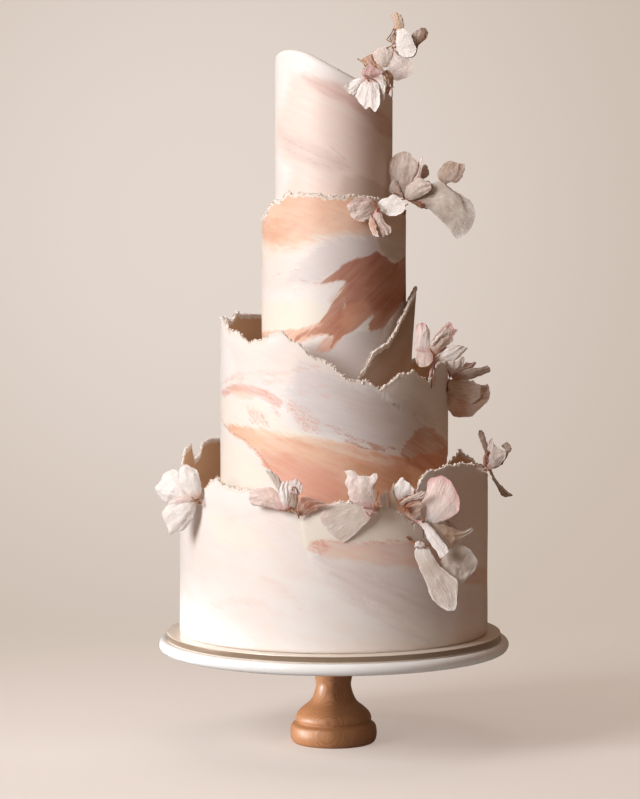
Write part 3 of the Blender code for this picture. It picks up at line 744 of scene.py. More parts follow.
class SheetMesh:
    """A mesh made from a grid of points, rows by columns, with its own map and numbers on its points."""

    def __init__(self, name: str, rows: int, columns: int, round_columns: bool, round_rows: bool) -> None:
        """Sets up the grid.

        Args:
            name: The mesh's name.
            rows: How many rows of points there are.
            columns: How many points each row has.
            round_columns: Whether the last column joins the first.
            round_rows: Whether the last row joins the first.
        """
        self.name, self.rows, self.columns = name, rows, columns
        self.round_columns, self.round_rows = round_columns, round_rows
        self.points = np.zeros((rows, columns, 3))
        self.chart = np.zeros((rows + 1, columns + 1, 2))
        self.numbers: dict[str, np.ndarray] = {}
        self.colours: np.ndarray | None = None

    def number(self, name: str) -> np.ndarray:
        """Adds a number on each point and gives its grid."""
        self.numbers[name] = np.zeros((self.rows, self.columns))
        return self.numbers[name]

    def paint(self, paints: Sequence[Paint], radius: float) -> None:
        """Adds, for each paint, how deep each point lies in its marks, which end in fingers behind the sides."""
        run, height = self.chart[:-1, :-1, 0], self.points[..., 2]
        behind = np.clip(np.abs(run) / radius - 1.5, 0.0, 0.4)
        stray = 40.0 * np.sin(height / (7.5 * MM) + 2.0) + 22.0 * np.sin(height / (3.1 * MM))
        for number, paint in enumerate(paints):
            depths = [mark.depth(run + behind * stray * MM, height, radius) for mark in paint.marks]
            self.number(f"paint_{number}")[:] = np.max(depths, axis=0)

    def mesh(self) -> bpy.types.Mesh:
        """Builds the mesh of quads."""
        across = self.columns if self.round_columns else self.columns - 1
        down = self.rows if self.round_rows else self.rows - 1
        row, column = np.meshgrid(np.arange(down), np.arange(across), indexing="ij")
        row, column = row.ravel(), column.ravel()
        rows = np.stack([row, row, row + 1, row + 1], axis=1)
        columns = np.stack([column, column + 1, column + 1, column], axis=1)
        corners = (rows % self.rows) * self.columns + columns % self.columns
        mesh = bpy.data.meshes.new(self.name)
        mesh.from_pydata(self.points.reshape(-1, 3).tolist(), [], corners.tolist())
        chart = mesh.uv_layers.new(name="UVMap")
        chart.data.foreach_set("uv", self.chart[rows, columns].ravel())
        for name, values in self.numbers.items():
            mesh.attributes.new(name, "FLOAT", "POINT").data.foreach_set("value", values.ravel())
        if self.colours is not None:
            layer = mesh.attributes.new("petal_colour", "FLOAT_COLOR", "POINT")
            layer.data.foreach_set("color", self.colours.ravel())
        return mesh


def closed_outward(mesh: bpy.types.Mesh, merge: float = 0.0) -> bpy.types.Mesh:
    """Merges the points that coincide, if asked, and turns the faces of a closed mesh outward."""
    work = bmesh.new()
    work.from_mesh(mesh)
    if merge:
        bmesh.ops.remove_doubles(work, verts=work.verts, dist=merge)
    bmesh.ops.recalc_face_normals(work, faces=work.faces)
    work.to_mesh(mesh)
    work.free()
    return mesh


def add_piece(name: str, mesh: bpy.types.Mesh, finish: bpy.types.Material, smooth_angle: float = 60.0
              ) -> bpy.types.Object:
    """Links a mesh as a piece with smooth shading."""
    made = bpy.data.objects.new(name, mesh)
    bpy.context.scene.collection.objects.link(made)
    mesh.materials.clear()
    mesh.materials.append(finish)
    mesh.shade_smooth()
    mesh.set_sharp_from_angle(angle=math.radians(smooth_angle))
    return made


def hand_over(piece: bpy.types.Object, slot: str, *nodes: str) -> None:
    """Rides a piece on the cake, hides the nodes that it stands for, and reports it."""
    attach(piece, BODY)
    if nodes:
        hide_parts(*nodes)
    LOG.info("%s: %d faces, for %s", piece.name, len(piece.data.polygons), ", ".join(nodes) or "itself")


@dataclass(frozen=True)
class Overlap:
    """A step on a wall where one sheet's edge lies over another.

    The line runs through places given as (angle, height in millimetres). What lies above it, or to its right
    if it is upright, stands proud by the rise.
    """

    line: tuple[tuple[float, float], ...]
    rise: float
    upright: bool = False
    ease: float = 1.2

    def lift(self, angle: float, height: float, radius: float) -> float:
        """Gives how far the wall stands proud at a place, in metres."""
        angles = [place[0] for place in self.line]
        heights = [place[1] * MM for place in self.line]
        if self.upright:
            low, high = min(heights), max(heights)
            if not low <= height <= high + 30.0 * MM:
                return 0.0
            edge = float(np.interp(height, heights[::-1], angles[::-1]))
            beyond = math.radians(angle - edge) * radius
            fade = min(1.0, (height - low) / (12.0 * MM))
            away = max(0.0, 1.0 - max(0.0, beyond) / (60.0 * MM))
        else:
            if not angles[0] <= angle <= angles[-1]:
                return 0.0
            beyond = height - float(np.interp(angle, angles, heights))
            fade = min(1.0, (angles[-1] - angle) / 12.0, (angle - angles[0]) / 2.0)
            away = 1.0
        share = min(1.0, max(0.0, 0.5 + beyond / (self.ease * MM)))
        return self.rise * MM * fade * away * share * share * (3.0 - 2.0 * share)


@dataclass
class Wrap:
    """A fondant sheet round a tier, whose torn upper edge stands free."""

    node: str
    radius: float
    floor: float
    rim: tuple
    seed: int
    slot: str
    columns: int
    spacing: float = 2.2 * MM
    overlaps: tuple[Overlap, ...] = ()
    edge_steps: tuple[float, ...] = (10.0, 6.5, 4.2, 2.8, 1.8, 1.0, 0.4)
    inner_steps: tuple[float, ...] = (0.6, 1.6, 3.5, 8.0)
    inner_rows: int = 8
    crumb_line: list[Vector] = field(default_factory=list)

    def top(self, angle: float, rough: Callable[[float], float]) -> float:
        """Gives the height of the torn edge at an angle, with its fine breaks."""
        turn = math.radians(angle)
        place = Vector((math.cos(turn), math.sin(turn), self.seed * 3.1)) * (self.radius / MM)
        height = rim_height(self.rim, angle) + TORN_DEPTH * rough(angle)
        height += 1.5 * MM * noise.noise(place / 4.2)
        height += 1.7 * MM * abs(noise.noise(place / 1.9))
        return height

    def build(self, fondant: Fondant, shared: Shared) -> bpy.types.Object:
        """Builds the sheet and keeps the line of its torn edge for the crumbs."""
        rough = torn_noise(self.seed)
        angles = [90.0 + 360.0 * column / self.columns for column in range(self.columns)]
        tops = np.array([self.top(angle, rough) for angle in angles])
        lowest = float(tops.min())
        body_rows = max(8, round((lowest - self.floor) / self.spacing))
        steps = [share * MM for share in self.edge_steps]
        outer = body_rows + len(steps)
        inner = len(self.inner_steps) + self.inner_rows
        grid = SheetMesh(self.node + "_fondant", outer + 5 + inner, self.columns, True, True)
        edge, back = grid.number("edge"), grid.number("back")
        for column, (angle, top) in enumerate(zip(angles, tops)):
            turn = math.radians(angle)
            facing = np.array((math.cos(turn), math.sin(turn)))
            place = Vector((facing[0], facing[1], 0.0)) * self.radius
            heights = [self.floor + (top - steps[0] - self.floor) * row / body_rows for row in range(body_rows)]
            heights += [top - step for step in steps]
            wave = 1.1 * MM * noise.noise(place / (26.0 * MM) + Vector((0, 0, self.seed)))
            rows = []
            for height in heights:
                below = top - height
                spot = place + Vector((0, 0, height))
                radius = self.radius - 0.5 * MM * max(0.0, 1.0 - below / (10.0 * MM))
                radius += 0.30 * MM * noise.noise(spot / (45.0 * MM))
                radius += wave * math.exp(-below / (9.0 * MM)) * 0.6
                radius -= 1.0 * MM * max(0.0, 1.0 - (height - self.floor) / (1.2 * MM))
                radius += sum(lap.lift((angle + 180.0) % 360.0 - 180.0, height, self.radius) for lap in self.overlaps)
                rows.append((radius, height, below, 0.0))
            crest = rows[-1][0]
            for step in range(5):
                share = (step + 0.5) / 5.0
                spot = (place + Vector((0, 0, top))) / (1.3 * MM) + Vector((0, 0, 3.0 * step))
                radius = crest - (WRAP_THICKNESS - 0.9 * MM) * share + 0.7 * MM * noise.noise(spot)
                lift = 0.6 * MM * math.sin(math.pi * share) + 1.2 * MM * noise.noise(spot + Vector((9, 9, 9)))
                rows.append((radius, top - 0.6 * MM * share + lift, 0.0, 0.0))
            inside = self.radius - WRAP_THICKNESS
            for step in self.inner_steps:
                radius = inside + 0.6 * MM * max(0.0, 1.0 - step / 8.0) + wave * math.exp(-step / 9.0) * 0.6
                rows.append((radius, top - 0.6 * MM - step * MM, step * MM, 1.0))
            start = top - 0.6 * MM - self.inner_steps[-1] * MM
            for row in range(1, self.inner_rows + 1):
                height = start + (self.floor - start) * row / self.inner_rows
                rows.append((inside, height, top - height, 1.0))
            for row, (radius, height, distance, behind) in enumerate(rows):
                grid.points[row, column] = (radius * facing[0], radius * facing[1], height)
                edge[row, column], back[row, column] = distance, behind
            middle = rows[outer + 2]
            self.crumb_line.append(Vector((middle[0] * facing[0], middle[0] * facing[1], middle[1])))
        runs = np.radians(np.linspace(-180.0, 180.0, self.columns + 1)) * self.radius
        grid.chart[:-1, :, 0] = runs[None, :]
        grid.chart[:-1, :-1, 1] = grid.points[:, :, 2]
        grid.chart[:-1, -1, 1] = grid.points[:, 0, 2]
        grid.chart[-1] = grid.chart[0]
        grid.paint(fondant.paints, self.radius)
        return add_piece(grid.name, closed_outward(grid.mesh()), fondant.material(shared), 75.0)


@dataclass
class TornFlap:
    """The torn sheet that leans off the right side of tier 3."""

    columns: int = 260
    rows: int = 46
    crumb_line: list[Vector] = field(default_factory=list)

    def build(self, fondant: Fondant, shared: Shared) -> bpy.types.Object:
        """Builds the flap as a closed thin solid."""
        rough = torn_noise(31)
        floor = LEDGES[1] + GAP
        start, end = FLAP_EDGE[0][0], FLAP_EDGE[-1][0]
        rim_rows = 4
        total = 2 * (self.rows + 1) + rim_rows
        grid = SheetMesh("tier_3_flap_fondant", total, self.columns + 1, False, True)
        edge, back = grid.number("edge"), grid.number("back")
        for column in range(self.columns + 1):
            angle = start + (end - start) * column / self.columns
            turn = math.radians(angle)
            facing = Vector((math.cos(turn), math.sin(turn), 0.0))
            place = facing * FLAP_FOOT_RADIUS
            top = rim_height(FLAP_EDGE, angle) + TORN_DEPTH * 0.6 * rough(angle)
            top += 0.7 * MM * noise.noise(place / (2.4 * MM)) + 0.4 * MM * noise.noise(place / (1.0 * MM))
            ring = []
            for row in range(self.rows + 1):
                share = 1.0 - (1.0 - row / self.rows) ** 1.4
                height = floor + (top - floor) * share
                radius = self.lean(height, floor) + 0.35 * MM * noise.noise((place + Vector((0, 0,
                        height))) / (14 * MM))
                ring.append((radius, height, top - height, 0.0))
            crest = ring[-1]
            for step in range(rim_rows):
                share = (step + 0.5) / rim_rows
                spot = (place + Vector((0, 0, top))) / (1.2 * MM) + Vector((0, 0, 2.0 * step))
                radius = crest[0] - FLAP_THICKNESS * (0.1 + 0.8 * share) + 0.3 * MM * noise.noise(spot)
                ring.append((radius, top + 0.4 * MM * math.sin(math.pi * share) + 0.5 * MM * noise.noise(-spot), 0.0,
                        0.0))
            for radius, height, distance, _ in reversed(ring[: self.rows + 1]):
                ring.append((radius - FLAP_THICKNESS, height, distance, 1.0))
            for row, (radius, height, distance, behind) in enumerate(ring):
                grid.points[row, column] = (*(facing * radius)[:2], height)
                grid.chart[row, column] = (arc_place(radius, angle), height)
                edge[row, column], back[row, column] = distance, behind
            self.crumb_line.append(facing * (crest[0] - 0.5 * FLAP_THICKNESS) + Vector((0, 0, top)))
        grid.chart[-1] = grid.chart[0]
        grid.paint(fondant.paints, FLAP_FOOT_RADIUS)
        mesh = grid.mesh()
        work = bmesh.new()
        work.from_mesh(mesh)
        bmesh.ops.holes_fill(work, edges=[e for e in work.edges if e.is_boundary], sides=0)
        bmesh.ops.triangulate(work, faces=[f for f in work.faces if len(f.verts) > 4])
        bmesh.ops.recalc_face_normals(work, faces=work.faces)
        work.to_mesh(mesh)
        work.free()
        return add_piece(grid.name, mesh, fondant.material(shared), 75.0)

    @staticmethod
    def lean(height: float, floor: float) -> float:
        """Gives the radius of the flap's outer face at a height."""
        rise = max(0.0, (height - floor) / (FLAP_TIP - floor))
        return FLAP_FOOT_RADIUS + (FLAP_TIP_RADIUS - FLAP_FOOT_RADIUS) * rise**FLAP_LEAN_POWER


@dataclass
class CrownTier:
    """The top tier, cut on a slant, with a soft closed edge."""

    columns: int = 300
    wall_rows: int = 64
    edge_steps: int = 10
    top_rows: int = 14
    edge: float = 5.0 * MM

    def build(self, fondant: Fondant, shared: Shared) -> bpy.types.Object:
        """Builds the tier as a closed solid."""
        radius, floor = TIER_RADII[3], LEDGES[2] + GAP
        total = self.wall_rows + self.edge_steps + self.top_rows
        grid = SheetMesh("tier_4_fondant", total, self.columns, True, False)
        edge, back = grid.number("edge"), grid.number("back")
        edge[:], back[:] = 1.0, 0.0
        angles = [90.0 + 360.0 * column / self.columns for column in range(self.columns)]
        heights = [self.soft_edge(angle) for angle in angles]
        middle = sum(heights) / self.columns
        for column, (angle, top) in enumerate(zip(angles, heights)):
            turn = math.radians(angle)
            facing = Vector((math.cos(turn), math.sin(turn), 0.0))
            rows = []
            for row in range(self.wall_rows):
                rows.append((radius, floor + (top - self.edge - floor) * row / self.wall_rows))
            for step in range(self.edge_steps):
                bend = 0.5 * math.pi * step / (self.edge_steps - 1)
                rows.append((radius - self.edge * (1.0 - math.cos(bend)), top - self.edge * (1.0 - math.sin(bend))))
            for step in range(1, self.top_rows + 1):
                share = 1.0 - step / self.top_rows
                rows.append(((radius - self.edge) * max(share, 0.004), middle + (top - middle) * share))
            for row, (reach, height) in enumerate(rows):
                spot = facing * reach + Vector((0, 0, height))
                reach += 0.25 * MM * noise.noise(spot / (40.0 * MM)) * min(1.0, reach / (20 * MM))
                grid.points[row, column] = (*(facing * reach)[:2], height)
        runs = np.radians(np.linspace(-180.0, 180.0, self.columns + 1)) * radius
        grid.chart[:-1, :, 0] = runs[None, :]
        grid.chart[:-1, :-1, 1] = grid.points[:, :, 2]
        grid.chart[:-1, -1, 1] = grid.points[:, 0, 2]
        grid.paint(fondant.paints, radius)
        mesh = grid.mesh()
        work = bmesh.new()
        work.from_mesh(mesh)
        bmesh.ops.holes_fill(work, edges=[e for e in work.edges if e.is_boundary], sides=0)
        bmesh.ops.recalc_face_normals(work, faces=work.faces)
        work.to_mesh(mesh)
        work.free()
        return add_piece(grid.name, mesh, fondant.material(shared), 50.0)

    @staticmethod
    def soft_edge(angle: float) -> float:
        """Gives the height of the slanted edge, smoothed over a few degrees."""
        spread = range(-8, 9, 2)
        return sum(rim_height(CROWN_EDGE, angle + step) for step in spread) / len(spread)


def crumb_tree() -> bpy.types.NodeTree:
    """Makes the Geometry Nodes tree that strews torn crumbs along a line."""
    tree = bpy.data.node_groups.new("crumbs along a torn edge", "GeometryNodeTree")
    tree.interface.new_socket("Line", in_out="INPUT", socket_type="NodeSocketGeometry")
    for name, value in (("Spacing", 1.2 * MM), ("Size", 0.5 * MM), ("Scatter", 0.9 * MM)):
        tree.interface.new_socket(name, in_out="INPUT", socket_type="NodeSocketFloat").default_value = value
    tree.interface.new_socket("Seed", in_out="INPUT", socket_type="NodeSocketInt")
    tree.interface.new_socket("Finish", in_out="INPUT", socket_type="NodeSocketMaterial")
    tree.interface.new_socket("Crumbs", in_out="OUTPUT", socket_type="NodeSocketGeometry")
    w = Wiring(tree)
    entry = w.node("NodeGroupInput").outputs
    curve = w.node("GeometryNodeMeshToCurve", {0: entry["Line"]}).outputs[0]
    points = w.node("GeometryNodeCurveToPoints", {"Curve": curve, "Length": entry["Spacing"]}, mode="LENGTH")
    spread = w.node(
        "FunctionNodeRandomValue", {0: (-1.0, -1.0, -0.8), 1: (1.0, 1.0, 0.5), "Seed": entry["Seed"]},
        data_type="FLOAT_VECTOR",
    ).outputs[0]
    offset = w.scaled(spread, entry["Scatter"])
    moved = w.node("GeometryNodeSetPosition", {"Geometry": points.outputs[0], "Offset": offset}).outputs[0]
    crumb = w.node("GeometryNodeMeshIcoSphere", {"Radius": entry["Size"], "Subdivisions": 1}).outputs[0]
    turns = w.node(
        "FunctionNodeRandomValue",
        {0: (0.0, 0.0, 0.0), 1: (6.2, 6.2, 6.2), "Seed": w.math("ADD", entry["Seed"], 1.0)},
        data_type="FLOAT_VECTOR",
    ).outputs[0]
    turned = w.node("FunctionNodeEulerToRotation", {0: turns}).outputs[0]
    sizes = w.node(
        "FunctionNodeRandomValue",
        {0: (0.5, 0.35, 0.3), 1: (1.5, 1.1, 0.9), "Seed": w.math("ADD", entry["Seed"], 2.0)},
        data_type="FLOAT_VECTOR",
    ).outputs[0]
    strewn = w.node(
        "GeometryNodeInstanceOnPoints", {"Points": moved, "Instance": crumb, "Rotation": turned, "Scale": sizes}
    ).outputs[0]
    real = w.node("GeometryNodeRealizeInstances", {0: strewn}).outputs[0]
    lumps = w.node("ShaderNodeTexNoise", {"Scale": 1500.0}).outputs["Color"]
    dent = w.scaled(w.vector("SUBTRACT", lumps, (0.5, 0.5, 0.5)), 0.6 * MM)
    lumpy = w.node("GeometryNodeSetPosition", {"Geometry": real, "Offset": dent}).outputs[0]
    dressed = w.node("GeometryNodeSetMaterial", {"Geometry": lumpy, "Material": entry["Finish"]}).outputs[0]
    w.node("NodeGroupOutput", {0: dressed})
    return tree


def grown(name: str, tree: bpy.types.NodeTree, line: bpy.types.Mesh, values: dict[str, object],
          finish: bpy.types.Material) -> bpy.types.Object:
    """Runs a Geometry Nodes tree on a line and gives its result as a plain piece.

    Args:
        name: The piece's name.
        tree: The tree.
        line: The mesh of edges that it works on.
        values: A value for each of the tree's named inputs.
        finish: The piece's material.

    Returns:
        The piece.
    """
    holder = bpy.data.objects.new(name + "_line", line)
    bpy.context.scene.collection.objects.link(holder)
    grow = holder.modifiers.new("Grown", "NODES")
    grow.node_group = tree
    sockets = {item.name: item.identifier for item in tree.interface.items_tree if item.in_out == "INPUT"}
    for key, value in {**values, "Finish": finish}.items():
        grow[sockets[key]] = value
    graph = bpy.context.evaluated_depsgraph_get()
    mesh = bpy.data.meshes.new_from_object(holder.evaluated_get(graph))
    bpy.data.objects.remove(holder, do_unlink=True)
    mesh.name = name
    return add_piece(name, mesh, finish, 50.0)


def line_mesh(name: str, lines: Sequence[Sequence[Vector]], closed: bool = False) -> bpy.types.Mesh:
    """Makes a mesh of edges along each line of points."""
    points: list[Vector] = []
    edges: list[tuple[int, int]] = []
    for line in lines:
        first = len(points)
        points.extend(line)
        edges.extend((first + step, first + step + 1) for step in range(len(line) - 1))
        if closed:
            edges.append((first + len(line) - 1, first))
    mesh = bpy.data.meshes.new(name)
    mesh.from_pydata([tuple(point) for point in points], edges, [])
    return mesh


@dataclass(frozen=True)
class Petal:
    """A petal, traced in the photograph's pixels as it is seen from the front.

    Its two edges run from the foot outward, and its tip from the first edge's end to the second's. Depths are
    in millimetres toward the viewer: the foot's, the tip's, how much nearer the right edge is than the left,
    and how far the middle bulges. Of the three tints, the first is the foot's, the second the body's and the
    third the rim's and the tip's; a paler rim is partly the petal's own edge and partly a painted highlight.
    """

    left: str
    tip: str
    right: str
    tints: str
    foot: float = 1.0
    reach: float = 5.0
    tilt: float = 0.0
    belly: float = 2.0
    crumple: float = 1.0
    solid: float = 1.0


@dataclass(frozen=True)
class Blossom:
    """Petals, stems and twigs round a heart, placed by its angle, height and radius in millimetres.

    A stem's places are in millimetres from the heart. A twig's are the photograph's pixels, with the
    millimetres toward the viewer from the heart.
    """

    name: str
    angle: float
    height: float
    radius: float
    petals: tuple[Petal, ...]
    stems: tuple = ()
    twigs: tuple = ()
    anthers: int = 6

    @property
    def heart(self) -> Vector:
        """The heart's middle."""
        return on_wall(self.radius * MM, self.height * MM, self.angle)


PETAL_TINTS = {
    "W": Tint.PETAL_WHITE, "B": Tint.PETAL_BLUSH, "P": Tint.PETAL_PINK, "D": Tint.PETAL_DUSTY, "T": Tint.PETAL_TAUPE,
    "S": Tint.PETAL_STRAP, "G": Tint.PETAL_SHEER, "N": Tint.PETAL_TAN, "L": Tint.PETAL_LILAC, "H": Tint.PETAL_PEACH,
    "R": Tint.PETAL_RUST, "Z": Tint.PETAL_BROWN, "C": Tint.PETAL_CREAM,
}

